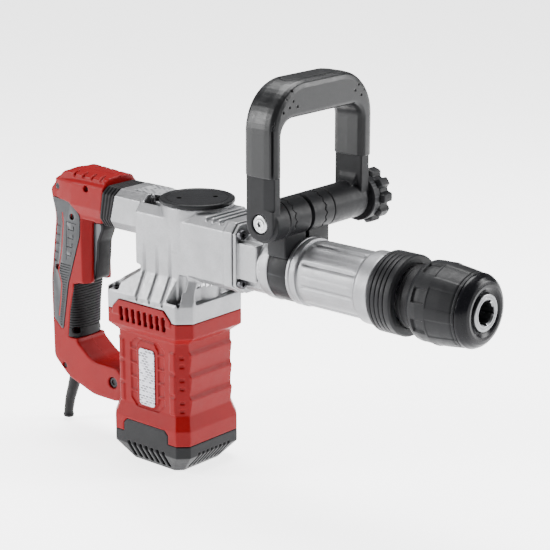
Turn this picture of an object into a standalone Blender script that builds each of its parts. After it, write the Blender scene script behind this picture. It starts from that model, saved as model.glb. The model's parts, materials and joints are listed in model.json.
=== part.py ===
"""Electric jackhammer: an L-shaped demolition hammer with an SDS-max tool holder.

Lengths are metres and +Z is up.  The origin is the middle of the motor end cap's flat foot, on the
motor's axis.  +X runs along the hammer axis towards the tool holder, and +Y is the tool's left side.
Heights of the hammer mechanism are measured from the hammer axis with the function up().
"""
import math

import bmesh
import bpy
from mathutils import Matrix, Vector

# ---------------------------------------------------------------- driving dimensions
GAP = 0.0003                 # clearance between neighbouring solids
HAMMER_AXIS_Z = 0.202        # hammer axis above the foot

CRANK_X = 0.0293             # vertical crank axis, ahead of the motor axis
CRANK_THROW = 0.009
ROD_LENGTH = 0.040
PINION_TEETH = 8
CRANK_GEAR_TEETH = 36
GEAR_MODULE = 2 * CRANK_X / (PINION_TEETH + CRANK_GEAR_TEETH)
WRIST_X = CRANK_X + CRANK_THROW + ROD_LENGTH

FLANGE = (0.0515, 0.0414, 0.0108)        # half length, half width and corner chamfer
BARREL = (0.0420, 0.0350, 0.0084)
SKIRT = (0.0460, 0.0389, 0.0088)
FOOT = (0.0300, 0.0280, 0.0060)
FLANGE_JOINT = -0.0608                   # heights of the motor's stages, from the hammer axis
FLANGE_END = -0.074
BARREL_TOP = -0.081
BARREL_END = -0.147
SKIRT_TOP = -0.160
CAP_JOINT = -0.1736
CAP_EDGE = -0.1845

HEAD_HALF_WIDTH = 0.030
HEAD_BACK_X = -0.0167
HEAD_FRONT_X = 0.096
CHAMBER_RADIUS = 0.0265
FAN_CHAMBER_RADIUS = 0.0365
MOTOR_BORE_RADIUS = 0.0323

CYLINDER_BORE = 0.0153
CYLINDER_OUTER = 0.0180
NOSE_X = 0.3299
SOCKET_RADIUS = 0.0093
CLAMP_X = (0.1328, 0.1522)               # where the side handle's band sits on the barrel

TILT_AXIS = (0.1425, 0.0465)             # cross tube of the D-handle, X and height from hammer axis
TUBE_RADIUS = 0.0162
ARM_HALF_X = 0.0143
NEAR_ARM_Y = (-0.0480, -0.0392)
FAR_ARM_Y = (0.0640, 0.0740)

HANDLE_PIVOT = (-0.062, -0.143)
TRIGGER_PIVOT = (-0.092, -0.003)
HANDLE_HALF_WIDTH = 0.018
SHELL_WALL = 0.003

PARTS = "electric_jackhammer"
CUTTERS = "electric_jackhammer_cutters"

# base colour, metallic, roughness
FINISHES = {
    "cast_aluminium": ((0.60, 0.60, 0.61), 0.85, 0.42),
    "red_plastic": ((0.55, 0.035, 0.035), 0.0, 0.45),
    "charcoal_plastic": ((0.045, 0.045, 0.050), 0.0, 0.50),
    "grey_rubber": ((0.16, 0.17, 0.18), 0.0, 0.75),
    "black_rubber": ((0.020, 0.020, 0.022), 0.0, 0.70),
    "gloss_black": ((0.015, 0.015, 0.016), 0.0, 0.15),
    "label": ((0.72, 0.73, 0.76), 0.0, 0.40),
    "steel": ((0.56, 0.57, 0.58), 1.0, 0.30),
    "lamination": ((0.30, 0.30, 0.32), 0.8, 0.50),
    "copper": ((0.80, 0.38, 0.18), 1.0, 0.35),
    "carbon": ((0.030, 0.030, 0.030), 0.1, 0.60),
    "brass": ((0.70, 0.52, 0.22), 1.0, 0.35),
}


def up(height):
    """Height above the foot of a point given from the hammer axis."""
    return HAMMER_AXIS_Z + height


# ---------------------------------------------------------------- scene and materials
def clear_scene():
    for item in list(bpy.data.objects):
        bpy.data.objects.remove(item, do_unlink=True)
    for name in (PARTS, CUTTERS):
        group = bpy.data.collections.new(name)
        bpy.context.scene.collection.children.link(group)


def finish(name):
    """The Principled material of that name, made on first use."""
    made = bpy.data.materials.get(name)
    if made:
        return made
    colour, metallic, roughness = FINISHES[name]
    made = bpy.data.materials.new(name)
    made.use_nodes = True
    shader = made.node_tree.nodes["Principled BSDF"]
    shader.inputs["Base Color"].default_value = (*colour, 1.0)
    shader.inputs["Metallic"].default_value = metallic
    shader.inputs["Roughness"].default_value = roughness
    return made


def add_object(name, mesh, slot=None):
    """Put a mesh in the scene: a part when it has a finish, and a hidden cutter when it has none."""
    item = bpy.data.objects.new(name, mesh)
    if slot:
        mesh.materials.append(finish(slot))
        bpy.data.collections[PARTS].objects.link(item)
    else:
        bpy.data.collections[CUTTERS].objects.link(item)
        item.hide_render = True
        item.display_type = "WIRE"
    return item


def from_bmesh(name, shape, slot=None):
    bmesh.ops.recalc_face_normals(shape, faces=shape.faces)
    mesh = bpy.data.meshes.new(name)
    shape.to_mesh(mesh)
    shape.free()
    return add_object(name, mesh, slot)


def smooth(item, degrees=35):
    item.data.shade_smooth()
    item.data.set_sharp_from_angle(angle=math.radians(degrees))
    return item


# ---------------------------------------------------------------- shapes
def box(name, low, high, slot=None, bevel=0.0):
    shape = bmesh.new()
    bmesh.ops.create_cube(shape, size=1.0)
    size = Vector(high) - Vector(low)
    bmesh.ops.scale(shape, vec=size, verts=shape.verts)
    bmesh.ops.translate(shape, vec=(Vector(high) + Vector(low)) / 2, verts=shape.verts)
    item = from_bmesh(name, shape, slot)
    if bevel:
        soften(item, bevel)
    return item


def soften(item, width, segments=1, degrees=30):
    bevel = item.modifiers.new("edges", "BEVEL")
    bevel.width = width
    bevel.segments = segments
    bevel.limit_method = "ANGLE"
    bevel.angle_limit = math.radians(degrees)
    return item


def axis_turn(axis):
    """Rotation that brings local +Z onto a world axis."""
    turns = {"X": Matrix.Rotation(math.pi / 2, 4, "Y"),
             "Y": Matrix.Rotation(-math.pi / 2, 4, "X"),
             "Z": Matrix.Identity(4)}
    return turns[axis]


def rod(name, radius, start, end, axis, slot=None, sides=16):
    """A cylinder from one point along a world axis to the coordinate given as its end."""
    start = Vector(start)
    length = end - start["XYZ".index(axis)]
    shape = bmesh.new()
    bmesh.ops.create_cone(shape, cap_ends=True, segments=sides, radius1=radius, radius2=radius,
                          depth=abs(length))
    bmesh.ops.translate(shape, vec=(0, 0, length / 2), verts=shape.verts)
    bmesh.ops.transform(shape, matrix=Matrix.Translation(start) @ axis_turn(axis), verts=shape.verts)
    return smooth(from_bmesh(name, shape, slot))


def turned(name, profile, axis, centre=(0, 0, 0), slot=None, steps=20):
    """A turned shape.  profile lists (distance along the axis, radius) round its closed section.

    A section that starts and ends on the axis is left open there, and the Screw closes it.
    """
    on_axis = profile[0][1] == 0 and profile[-1][1] == 0
    area = sum(a[1] * b[0] - b[1] * a[0] for a, b in zip(profile, profile[1:] + profile[:1]))
    if area > 0:
        profile = profile[::-1]
    shape = bmesh.new()
    corners = [shape.verts.new((radius, 0, along)) for along, radius in profile]
    for first, second in zip(corners, corners[1:]):
        shape.edges.new((first, second))
    if not on_axis:
        shape.edges.new((corners[-1], corners[0]))
    mesh = bpy.data.meshes.new(name)
    shape.to_mesh(mesh)
    shape.free()
    item = add_object(name, mesh, slot)
    screw = item.modifiers.new("turn", "SCREW")
    screw.axis = "Z"
    screw.angle = 2 * math.pi
    screw.steps = steps
    screw.render_steps = steps
    screw.use_merge_vertices = True
    screw.merge_threshold = 0.00001
    screw.use_smooth_shade = True
    place = Matrix.Translation(Vector(centre)) @ axis_turn(axis)
    item.matrix_world = place
    return item


def ring(name, start, end, inner, outer, axis, centre=(0, 0, 0), slot=None, steps=20):
    """A plain turned ring or bush."""
    profile = [(start, inner), (start, outer), (end, outer), (end, inner)]
    return turned(name, profile, axis, centre, slot, steps)


def loft(name, sections, slot=None):
    """A closed solid through loops of points that all have the same count."""
    shape = bmesh.new()
    loops = [[shape.verts.new(point) for point in section] for section in sections]
    for low, high in zip(loops, loops[1:]):
        for i in range(len(low)):
            j = (i + 1) % len(low)
            shape.faces.new((low[i], low[j], high[j], high[i]))
    shape.faces.new(loops[0])
    shape.faces.new(loops[-1])
    return from_bmesh(name, shape, slot)


def octagon(half_x, half_y, chamfer, height, centre_x=0.0):
    """A chamfered rectangle in a horizontal plane."""
    quarter = [(half_x, half_y - chamfer), (half_x - chamfer, half_y)]
    points = quarter + [(-x, y) for x, y in reversed(quarter)]
    points += [(-x, -y) for x, y in points]
    return [(centre_x + x, y, height) for x, y in points]


def plate(name, outline, plane, start, end, slot=None):
    """A flat outline given thickness: outline pairs are XZ for plane Y, XY for plane Z, YZ for X."""
    curve = bpy.data.curves.new(name, "CURVE")
    curve.dimensions = "2D"
    curve.fill_mode = "BOTH"
    curve.extrude = abs(end - start) / 2
    spline = curve.splines.new("POLY")
    spline.points.add(len(outline) - 1)
    for point, (first, second) in zip(spline.points, outline):
        point.co = (first, second, 0, 1)
    spline.use_cyclic_u = True
    flat = bpy.data.objects.new(name + "_outline", curve)
    bpy.data.collections[CUTTERS].objects.link(flat)
    middle = (start + end) / 2
    bases = {"X": Matrix(((0, 0, 1, middle), (1, 0, 0, 0), (0, 1, 0, 0), (0, 0, 0, 1))),
             "Y": Matrix(((1, 0, 0, 0), (0, 0, -1, middle), (0, 1, 0, 0), (0, 0, 0, 1))),
             "Z": Matrix.Translation((0, 0, middle))}
    mesh = solid_mesh(flat)
    mesh.transform(bases[plane])
    return add_object(name, mesh, slot)


def solid_mesh(curve_object):
    """The welded mesh of a curve object, which is then removed."""
    graph = bpy.context.evaluated_depsgraph_get()
    graph.update()
    mesh = bpy.data.meshes.new_from_object(curve_object.evaluated_get(graph))
    shape = bmesh.new()
    shape.from_mesh(mesh)
    bmesh.ops.remove_doubles(shape, verts=shape.verts, dist=0.000001)
    bmesh.ops.recalc_face_normals(shape, faces=shape.faces)
    shape.to_mesh(mesh)
    shape.free()
    bpy.data.objects.remove(curve_object, do_unlink=True)
    return mesh


def pipe(name, stations, slot=None, resolution=3):
    """A round bar through stations of (point, radius)."""
    curve = bpy.data.curves.new(name, "CURVE")
    curve.dimensions = "3D"
    curve.bevel_depth = 1.0
    curve.bevel_resolution = resolution
    curve.use_fill_caps = True
    spline = curve.splines.new("POLY")
    spline.points.add(len(stations) - 1)
    for point, (place, radius) in zip(spline.points, stations):
        point.co = (*place, 1)
        point.radius = radius
    bar = bpy.data.objects.new(name + "_path", curve)
    bpy.data.collections[CUTTERS].objects.link(bar)
    return add_object(name, solid_mesh(bar), slot)


def combine(item, tools, operation):
    for tool in tools:
        step = item.modifiers.new(tool.name, "BOOLEAN")
        step.operation = operation
        step.solver = "EXACT"
        step.object = tool
    return item


def cut(item, *tools):
    return combine(item, tools, "DIFFERENCE")


def join(item, *tools):
    return combine(item, tools, "UNION")


def rounded(corners, steps=3):
    """A closed outline with each (a, b, radius) corner rounded by an arc of that radius."""
    outline = []
    for i, (a, b, radius) in enumerate(corners):
        here = Vector((a, b))
        before = Vector(corners[i - 1][:2]) - here
        after = Vector(corners[(i + 1) % len(corners)][:2]) - here
        half = before.angle(after) / 2
        back = radius / math.tan(half)
        middle = here + (before.normalized() + after.normalized()).normalized() * radius / math.sin(half)
        start = here + before.normalized() * back - middle
        sweep = start.angle_signed(here + after.normalized() * back - middle)
        for k in range(steps + 1):
            turn = Matrix.Rotation(-sweep * k / steps, 2)
            outline.append(tuple(middle + turn @ start))
    return outline


def inset(outline, distance):
    """The outline moved inwards by a distance, or outwards by a negative one."""
    area = sum(a[0] * b[1] - b[0] * a[1] for a, b in zip(outline, outline[1:] + outline[:1]))
    inward = distance if area > 0 else -distance
    moved = []
    for i, point in enumerate(outline):
        here = Vector(point)
        into = (here - Vector(outline[i - 1])).normalized()
        away = (Vector(outline[(i + 1) % len(outline)]) - here).normalized()
        normal_in = Vector((-into.y, into.x))
        normal_away = Vector((-away.y, away.x))
        bisector = normal_in + normal_away
        moved.append(tuple(here + bisector * inward / (1 + normal_in.dot(normal_away))))
    return moved


def gear_outline(teeth, turn=0.0, module=GEAR_MODULE):
    """Straight-flanked teeth with backlash; turn is the angle of the first tooth."""
    pitch_radius = module * teeth / 2
    pitch = 2 * math.pi / teeth
    levels = [(-1.15, 0.60), (0.85, 0.20)]
    outline = []
    for tooth in range(teeth):
        middle = turn + pitch * tooth
        flank = [(pitch_radius + reach * module, width * pitch / 2) for reach, width in levels]
        for radius, half in flank:
            outline.append((radius * math.cos(middle - half), radius * math.sin(middle - half)))
        for radius, half in reversed(flank):
            outline.append((radius * math.cos(middle + half), radius * math.sin(middle + half)))
    return outline


def moved(outline, first, second):
    return [(a + first, b + second) for a, b in outline]


# ---------------------------------------------------------------- gear housing
SCREW_Y = 0.0245
BARREL_SCREWS = [(SCREW_Y, 0.026), (-SCREW_Y, 0.026), (SCREW_Y, -0.016), (-SCREW_Y, -0.016)]
HOUSING_SCREWS = [(0.0395, 0.0310), (0.0395, -0.0310), (-0.0395, 0.0310), (-0.0395, -0.0310)]
HEAD_SECTION = [(0.030, 0.027), (0.0235, 0.0345), (-0.0235, 0.0345), (-0.030, 0.027),
                (-0.030, -0.0185), (-0.016, -0.027), (0.016, -0.027), (0.030, -0.0185)]
NECK_SECTION = [(0.0160, 0.0400), (0.0225, 0.0340), (0.0225, 0.0110), (0.0150, 0.0020),
                (-0.0150, 0.0020), (-0.0225, 0.0110), (-0.0225, 0.0340), (-0.0160, 0.0400)]


def section_at(section, x, scale=1.0, lean=0.0):
    """A YZ section placed at x; lean moves its top forward per metre of height."""
    return [(x + lean * height, y * scale, up(height * scale)) for y, height in section]


def neck_back(height):
    """X of the neck's slanting rear face at a height."""
    return -0.0580 + 0.263 * height


def head_front(height):
    """X of the rear handle's slanting front face at a height."""
    return -0.0713 + 0.165 * height


def vent_cutters():
    """Eight upright slots, cut through both sides of the flange."""
    slots = []
    for i in range(8):
        middle = -0.0243 + 0.0073 * i
        slots.append(box(f"vent_slot_{i}", (middle - 0.002, -0.06, up(-0.0700)),
                         (middle + 0.002, 0.06, up(-0.0568))))
    return slots


def vent_panel_outline(clearance):
    bottom_half, top_half = 0.0350 + clearance, 0.0270 + clearance
    bottom, shoulder, top = up(FLANGE_JOINT) - 0.004, up(-0.0590), up(-0.0512) + clearance
    return [(-bottom_half, bottom), (-bottom_half, shoulder), (-top_half, top),
            (top_half, top), (bottom_half, shoulder), (bottom_half, bottom)]


def gear_housing():
    width = HEAD_HALF_WIDTH
    housing = loft("gear_housing", [section_at(HEAD_SECTION, HEAD_BACK_X),
                                    section_at(HEAD_SECTION, 0.0865),
                                    section_at(HEAD_SECTION, 0.0875, 1.02),
                                    section_at(HEAD_SECTION, HEAD_FRONT_X, 1.02)], "cast_aluminium")
    middle_x = (HEAD_BACK_X + 0.0503) / 2
    half_x = (0.0503 - HEAD_BACK_X) / 2
    body = loft("housing_body", [octagon(half_x, width, 0.004, up(0.010), middle_x),
                                 octagon(half_x, width, 0.006, up(-0.024), middle_x),
                                 octagon(*FLANGE, up(-0.0455)),
                                 octagon(*FLANGE, up(FLANGE_JOINT))])
    neck = loft("housing_neck", [[(neck_back(h), y, up(h)) for y, h in NECK_SECTION],
                                 section_at(NECK_SECTION, -0.010)])
    boss = rod("crank_boss", 0.0310, (CRANK_X, 0, up(0)), up(0.0380), "Z", sides=28)
    join(housing, body, neck, boss)
    cutters = [
        rod("crank_chamber", CHAMBER_RADIUS, (CRANK_X, 0, up(-0.033)), up(0.050), "Z", sides=28),
        rod("fan_chamber", FAN_CHAMBER_RADIUS, (0, 0, up(-0.070)), up(-0.044), "Z", sides=28),
        rod("pinion_chamber", 0.0075, (0, 0, up(-0.0350)), up(-0.019), "Z"),
        rod("upper_bearing_seat", 0.0133, (0, 0, up(-0.050)), up(-0.0350), "Z"),
        rod("crank_bearing_seat", 0.0123, (CRANK_X, 0, up(-0.0415)), up(-0.030), "Z"),
        rod("cylinder_seat", CYLINDER_OUTER + GAP, (0.050, 0, up(0)), 0.120, "X", sides=20),
        plate("vent_recess_near", vent_panel_outline(GAP), "Y", -0.050, -0.0379),
        plate("vent_recess_far", vent_panel_outline(GAP), "Y", 0.0379, 0.050),
    ]
    cutters += vent_cutters()
    for i, (y, height) in enumerate(BARREL_SCREWS):
        cutters.append(rod(f"barrel_thread_{i}", 0.0027, (0.080, y, up(height)), 0.110, "X", sides=8))
    for i, (x, y) in enumerate(HOUSING_SCREWS):
        cutters.append(rod(f"screw_pocket_{i}", 0.0052, (x, y, up(-0.0480)), up(-0.020), "Z", sides=10))
        cutters.append(rod(f"screw_way_{i}", 0.0027, (x, y, up(-0.070)), up(-0.040), "Z", sides=8))
    return cut(housing, *cutters)


def crank_cover():
    """Screwed cap over the crank, with a spigot, a seal groove and two holes for a pin wrench."""
    profile = [(0.0345, 0), (0.0345, 0.0245), (0.0352, 0.0245), (0.0352, 0.0238), (0.0372, 0.0238),
               (0.0372, 0.0262), (0.0383, 0.0262), (0.0383, 0.0325), (0.0412, 0.0325),
               (0.0422, 0.0312), (0.0422, 0.0285), (0.0416, 0.0278), (0.0416, 0)]
    cover = turned("crank_cover", profile, "Z", (CRANK_X, 0, up(0)), "charcoal_plastic", 28)
    for i, side in enumerate((-1, 1)):
        place = (CRANK_X + 0.010 * side, 0.012 * side, up(0.0390))
        cut(cover, rod(f"wrench_hole_{i}", 0.0024, place, up(0.050), "Z", sides=8))
    ring("crank_cover_seal", 0.0355, 0.0369, 0.0241, 0.0261, "Z", (CRANK_X, 0, up(0)), "black_rubber", 28)


def screws():
    for i, (y, height) in enumerate(BARREL_SCREWS):
        name = f"barrel_screw_{i + 1}"
        profile = [(0.0820, 0), (0.0820, 0.0024), (0.1003, 0.0024), (0.1003, 0.0042), (0.1043, 0.0042),
                   (0.1043, 0)]
        turned(name, profile, "X", (0, y, up(height)), "steel", 8)
    for i, (x, y) in enumerate(HOUSING_SCREWS):
        name = f"housing_screw_{i + 1}"
        profile = [(-0.0680, 0), (-0.0680, 0.0024), (-0.0477, 0.0024), (-0.0477, 0.0044), (-0.0437, 0.0044),
                   (-0.0437, 0)]
        turned(name, profile, "Z", (x, y, up(0)), "steel", 8)


# ---------------------------------------------------------------- motor
LUG_HALF_WIDTH = 0.0095


def motor_housing():
    housing = loft("motor_housing", [octagon(*FLANGE, up(FLANGE_JOINT) - GAP),
                                     octagon(*FLANGE, up(FLANGE_END)),
                                     octagon(*BARREL, up(BARREL_TOP)),
                                     octagon(*BARREL, up(BARREL_END)),
                                     octagon(*SKIRT, up(SKIRT_TOP)),
                                     octagon(*SKIRT, up(CAP_JOINT))], "red_plastic")
    for name, start, end in (("vent_panel_near", -0.0422, -0.0382), ("vent_panel_far", 0.0382, 0.0422)):
        join(housing, plate(name, vent_panel_outline(0.0), "Y", start, end))
    pivot = (HANDLE_PIVOT[0], up(HANDLE_PIVOT[1]))
    lug_outline = rounded([(-0.035, pivot[1] + 0.010, 0.001), (pivot[0] - 0.010, pivot[1] + 0.010, 0.009),
                           (pivot[0] - 0.010, pivot[1] - 0.010, 0.009), (-0.035, pivot[1] - 0.010, 0.001)])
    join(housing, plate("handle_lug", lug_outline, "Y", -LUG_HALF_WIDTH, LUG_HALF_WIDTH))
    profile = [(up(-0.050), 0), (up(-0.050), FAN_CHAMBER_RADIUS), (up(-0.0720), FAN_CHAMBER_RADIUS),
               (up(-0.0765), MOTOR_BORE_RADIUS), (up(-0.1500), MOTOR_BORE_RADIUS),
               (up(-0.1560), 0.0350), (up(-0.180), 0.0350), (up(-0.180), 0)]
    cutters = [turned("motor_bore", profile, "Z", steps=28),
               rod("lug_hole", 0.0044, (pivot[0], -0.02, pivot[1]), 0.02, "Y", sides=16),
               plate("cap_notch_near", cap_tab_outline(GAP), "Y", -0.045, -0.0359),
               plate("cap_notch_far", cap_tab_outline(GAP), "Y", 0.0359, 0.045)]
    cutters += vent_cutters()
    for i, (x, y) in enumerate(HOUSING_SCREWS):
        cutters.append(rod(f"housing_thread_{i}", 0.0027, (x, y, up(-0.0690)), up(-0.050), "Z", sides=8))
    return cut(housing, *cutters)


def cap_tab_outline(clearance):
    """Outline of the end cap's raised tab, on the skirt's side face."""
    half, top = 0.0270 + clearance, up(-0.1618) + clearance
    return [(-half, up(CAP_JOINT) - 0.002), (-half, top - 0.004), (-half + 0.004, top),
            (half - 0.004, top), (half, top - 0.004), (half, up(CAP_JOINT) - 0.002)]


def slanted_slots():
    """Air slots through the end cap's slopes: seven on each side and eight at each end."""
    half, end_half, reach, low, high = 0.0018, 0.0012, 0.060, 0.0036, 0.0200
    slots = []
    for i in range(7):
        x = -0.0210 + 0.0070 * i
        slots.append(box(f"side_slot_{i}", (x - half, -reach, low), (x + half, reach, high)))
    for i in range(8):
        y = -0.0189 + 0.0054 * i
        slots.append(box(f"end_slot_{i}", (-reach, y - end_half, low), (reach, y + end_half, high)))
    return slots


def motor_end_cap():
    cap = loft("motor_end_cap", [octagon(*FOOT, 0.0), octagon(*SKIRT, up(CAP_EDGE)),
                                 octagon(*SKIRT, up(CAP_JOINT) - GAP)], "charcoal_plastic")
    join(cap, plate("cap_tab_near", cap_tab_outline(0.0), "Y", -0.0389, -0.0362),
         plate("cap_tab_far", cap_tab_outline(0.0), "Y", 0.0362, 0.0389))
    wide = (0.0430, 0.0359, 0.008)
    hollow = loft("cap_hollow", [octagon(0.0270, 0.0250, 0.006, 0.0030), octagon(*wide, 0.0195),
                                 octagon(*wide, 0.050)])
    cut(cap, hollow, *slanted_slots())
    join(cap, rod("cap_bearing_boss", 0.0140, (0, 0, 0.0015), 0.0215, "Z"))
    return cut(cap, rod("lower_bearing_seat", 0.0113, (0, 0, 0.0120), 0.030, "Z"))


def label_plate():
    corner = 0.0030
    outline = rounded([(-0.0092, up(-0.1450), corner), (0.0092, up(-0.1450), corner),
                       (0.0092, up(-0.0930), corner), (-0.0092, up(-0.0930), corner)], 2)
    plate("label_plate", outline, "Y", -0.0361, -0.0353, "label")


def rotor():
    """The spinning armature: shaft, laminated core, commutator, fan and pinion."""
    shaft = [(0.0145, 0), (0.0145, 0.0040), (up(-0.0360), 0.0040), (up(-0.0360), 0.0030),
             (up(-0.0210), 0.0030), (up(-0.0210), 0)]
    turned("armature_shaft", shaft, "Z", slot="steel", steps=16)
    ring("armature_core", up(-0.1370), up(-0.0960), 0.0043, 0.0210, "Z", slot="lamination")
    ring("commutator", up(-0.1660), up(-0.1480), 0.0043, 0.0120, "Z", slot="copper")
    fan = ring("cooling_fan", up(-0.0700), up(-0.0670), 0.0043, 0.0320, "Z",
               slot="charcoal_plastic", steps=24)
    join(fan, ring("fan_hub", up(-0.0700), up(-0.0580), 0.0043, 0.0090, "Z", steps=20))
    for i in range(7):
        blade = box(f"fan_blade_{i}", (0.0080, -0.0008, up(-0.0690)), (0.0315, 0.0008, up(-0.0560)))
        blade.rotation_euler.z = 2 * math.pi * i / 7
        join(fan, blade)
    teeth = gear_outline(PINION_TEETH, math.pi / PINION_TEETH)
    pinion = plate("pinion", teeth, "Z", up(-0.0315), up(-0.0225), "steel")
    return cut(pinion, rod("pinion_bore", 0.0033, (0, 0, up(-0.040)), up(-0.010), "Z", sides=16))


def motor_fixed_parts():
    ring("stator_core", up(-0.1400), up(-0.0930), 0.0225, MOTOR_BORE_RADIUS - GAP, "Z", slot="lamination",
         steps=28)
    ring("upper_bearing", up(-0.0448), up(-0.0365), 0.0043, 0.0130, "Z", slot="steel")
    ring("lower_bearing", 0.0148, 0.0212, 0.0043, 0.0110, "Z", slot="steel")
    for side, name in ((-1, "right"), (1, "left")):
        low, high = sorted((side * 0.0125, side * 0.0230))
        box(f"carbon_brush_{name}", (-0.0035, low, up(-0.1610)), (0.0035, high, up(-0.1530)), "carbon")
        low, high = sorted((side * 0.0145, side * 0.0315))
        holder = box(f"brush_holder_{name}", (-0.0060, low, up(-0.1635)),
                     (0.0060, high, up(-0.1505)), "brass")
        low, high = sorted((side * 0.0100, side * 0.0290))
        cut(holder, box(f"brush_way_{name}", (-0.0039, low, up(-0.1614)), (0.0039, high, up(-0.1526))))


# ---------------------------------------------------------------- crank drive and hammer mechanism
def crank_drive():
    centre = (CRANK_X, 0, up(0))
    teeth = moved(gear_outline(CRANK_GEAR_TEETH, math.pi), CRANK_X, 0)
    gear = plate("crank_gear", teeth, "Z", up(-0.0310), up(-0.0240), "steel")
    cut(gear, rod("gear_bore", 0.0063, (CRANK_X, 0, up(-0.040)), up(-0.010), "Z", sides=20))
    shaft = [(-0.0405, 0), (-0.0405, 0.0060), (-0.0236, 0.0060), (-0.0236, 0.0155), (-0.0195, 0.0155),
             (-0.0195, 0)]
    crankshaft = turned("crankshaft", shaft, "Z", centre, "steel", 24)
    pin = (CRANK_X + CRANK_THROW, 0, up(-0.0205))
    join(crankshaft, rod("crank_pin", 0.0045, pin, up(-0.0058) - GAP, "Z", sides=16))
    ring("crank_bearing", -0.0412, -0.0325, 0.0063, 0.0120, "Z", centre, "steel", 24)


def piston_group():
    big_end = (CRANK_X + CRANK_THROW, 0, up(-0.0058))
    arm = box("connecting_rod", (big_end[0], -0.0042, up(-0.0045)), (WRIST_X, 0.0042, up(0.0045)), "steel")
    join(arm, rod("rod_big_end", 0.0078, big_end, up(0.0058), "Z"),
         rod("rod_small_end", 0.0068, (WRIST_X, 0, up(-0.0055)), up(0.0055), "Z"))
    cut(arm, rod("rod_big_bore", 0.0048, (big_end[0], 0, up(-0.02)), up(0.02), "Z"),
        rod("rod_small_bore", 0.0038, (WRIST_X, 0, up(-0.02)), up(0.02), "Z", sides=16))
    body = [(0.0695, 0), (0.0695, 0.0150), (0.0870, 0.0150), (0.0870, 0.0135), (0.0898, 0.0135),
            (0.0898, 0.0150), (0.0930, 0.0150), (0.0930, 0)]
    piston = turned("piston", body, "X", (0, 0, up(0)), "steel", 24)
    cut(piston, box("piston_slot", (0.060, -0.0095, up(-0.0068)), (0.0858, 0.0095, up(0.0068))),
        rod("wrist_hole", 0.0038, (WRIST_X, 0, up(-0.02)), up(0.02), "Z", sides=16))
    ring("piston_ring", 0.0873, 0.0895, 0.0138, 0.0150, "X", (0, 0, up(0)), "black_rubber", 24)
    rod("wrist_pin", 0.0035, (WRIST_X, 0, up(-0.0120)), up(0.0120), "Z", "steel", 16)


def hammer_line():
    axis = (0, 0, up(0))
    ring("cylinder_sleeve", 0.0505, 0.1660, CYLINDER_BORE, CYLINDER_OUTER, "X", axis, "steel", 24)
    striker = [(0.1080, 0), (0.1080, 0.0150), (0.1330, 0.0150), (0.1330, 0.0090), (0.1470, 0.0090),
               (0.1470, 0)]
    turned("striker", striker, "X", axis, "steel", 24)
    bolt = [(0.1720, 0), (0.1720, 0.0150), (0.1960, 0.0150), (0.1990, 0.0086), (0.2420, 0.0086),
            (0.2420, 0)]
    turned("impact_bolt", bolt, "X", axis, "steel", 24)


# ---------------------------------------------------------------- barrel
def barrel_housing():
    axis = (0, 0, up(0))
    low, high = CLAMP_X
    profile = [(0.0966, CYLINDER_OUTER + GAP), (0.0966, 0.0270), (0.1240, 0.0270), (0.1240, 0.0285),
               (low - 0.0003, 0.0285), (low - 0.0003, 0.0255), (high + 0.0003, 0.0255),
               (high + 0.0003, 0.0285), (0.1620, 0.0285), (0.1620, 0.0262), (0.1650, 0.0262),
               (0.1650, 0.0273), (0.2220, 0.0273), (0.2240, 0.0300), (0.2360, 0.0300), (0.2375, 0.0285),
               (0.2375, 0.0222), (0.2620, 0.0222), (0.2620, 0.0175), (0.2050, 0.0175), (0.2050, 0.0153),
               (0.1700, 0.0153), (0.1700, CYLINDER_OUTER + GAP)]
    barrel = turned("barrel_housing", profile, "X", axis, "cast_aluminium", 24)
    base = loft("barrel_base_plate", [section_at(HEAD_SECTION, 0.0963, 0.985),
                                      section_at(HEAD_SECTION, 0.1000, 0.985)])
    join(base, box("barrel_base_block", (0.0970, -0.0272, up(-0.0120)), (0.1200, 0.0272, up(0.0200))))
    cut(base, rod("barrel_base_bore", 0.0220, (0.090, 0, up(0)), 0.130, "X", sides=20))
    join(barrel, base)
    cutters = []
    for i, (y, height) in enumerate(BARREL_SCREWS):
        cutters.append(rod(f"barrel_screw_way_{i}", 0.0027, (0.090, y, up(height)), 0.110, "X", sides=8))
        cutters.append(rod(f"barrel_screw_pocket_{i}", 0.0050, (0.1000, y, up(height)), 0.1240, "X",
                           sides=10))
    return cut(barrel, *cutters)


# ---------------------------------------------------------------- tool holder
def tool_holder_group():
    axis = (0, 0, up(0))
    profile = [(0.2060, 0.0095), (0.2060, 0.0172), (0.2950, 0.0172), (0.2950, 0.0165), (0.3180, 0.0165),
               (0.3180, 0.0150), (NOSE_X, 0.0150), (NOSE_X, SOCKET_RADIUS), (0.2480, SOCKET_RADIUS),
               (0.2470, 0.0095)]
    holder = turned("tool_holder", profile, "X", axis, "steel", 24)
    for side, name in ((-1, "right"), (1, "left")):
        low, high = sorted((side * 0.005, side * 0.020))
        window = box(f"roller_window_{name}", (0.3000, low, up(-0.0036)), (0.3150, high, up(0.0036)))
        cut(holder, window)
        place = (0.3004, side * 0.0125, up(0))
        rod(f"locking_roller_{name}", 0.0032, place, 0.3146, "X", "steel", 16)
    ring("neck_sleeve", 0.2627, 0.2830, 0.0177, 0.0258, "X", axis, "charcoal_plastic", 28)
    nose = [(0.3206, 0.0188), (0.3206, 0.0300), (0.3245, 0.0288), (0.3278, 0.0262), (0.3294, 0.0232),
            (0.3294, 0.0205), (0.3280, 0.0170), (0.3270, 0.0153), (0.3215, 0.0153), (0.3215, 0.0188)]
    turned("nose_cap", nose, "X", axis, "gloss_black", 28)


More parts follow.
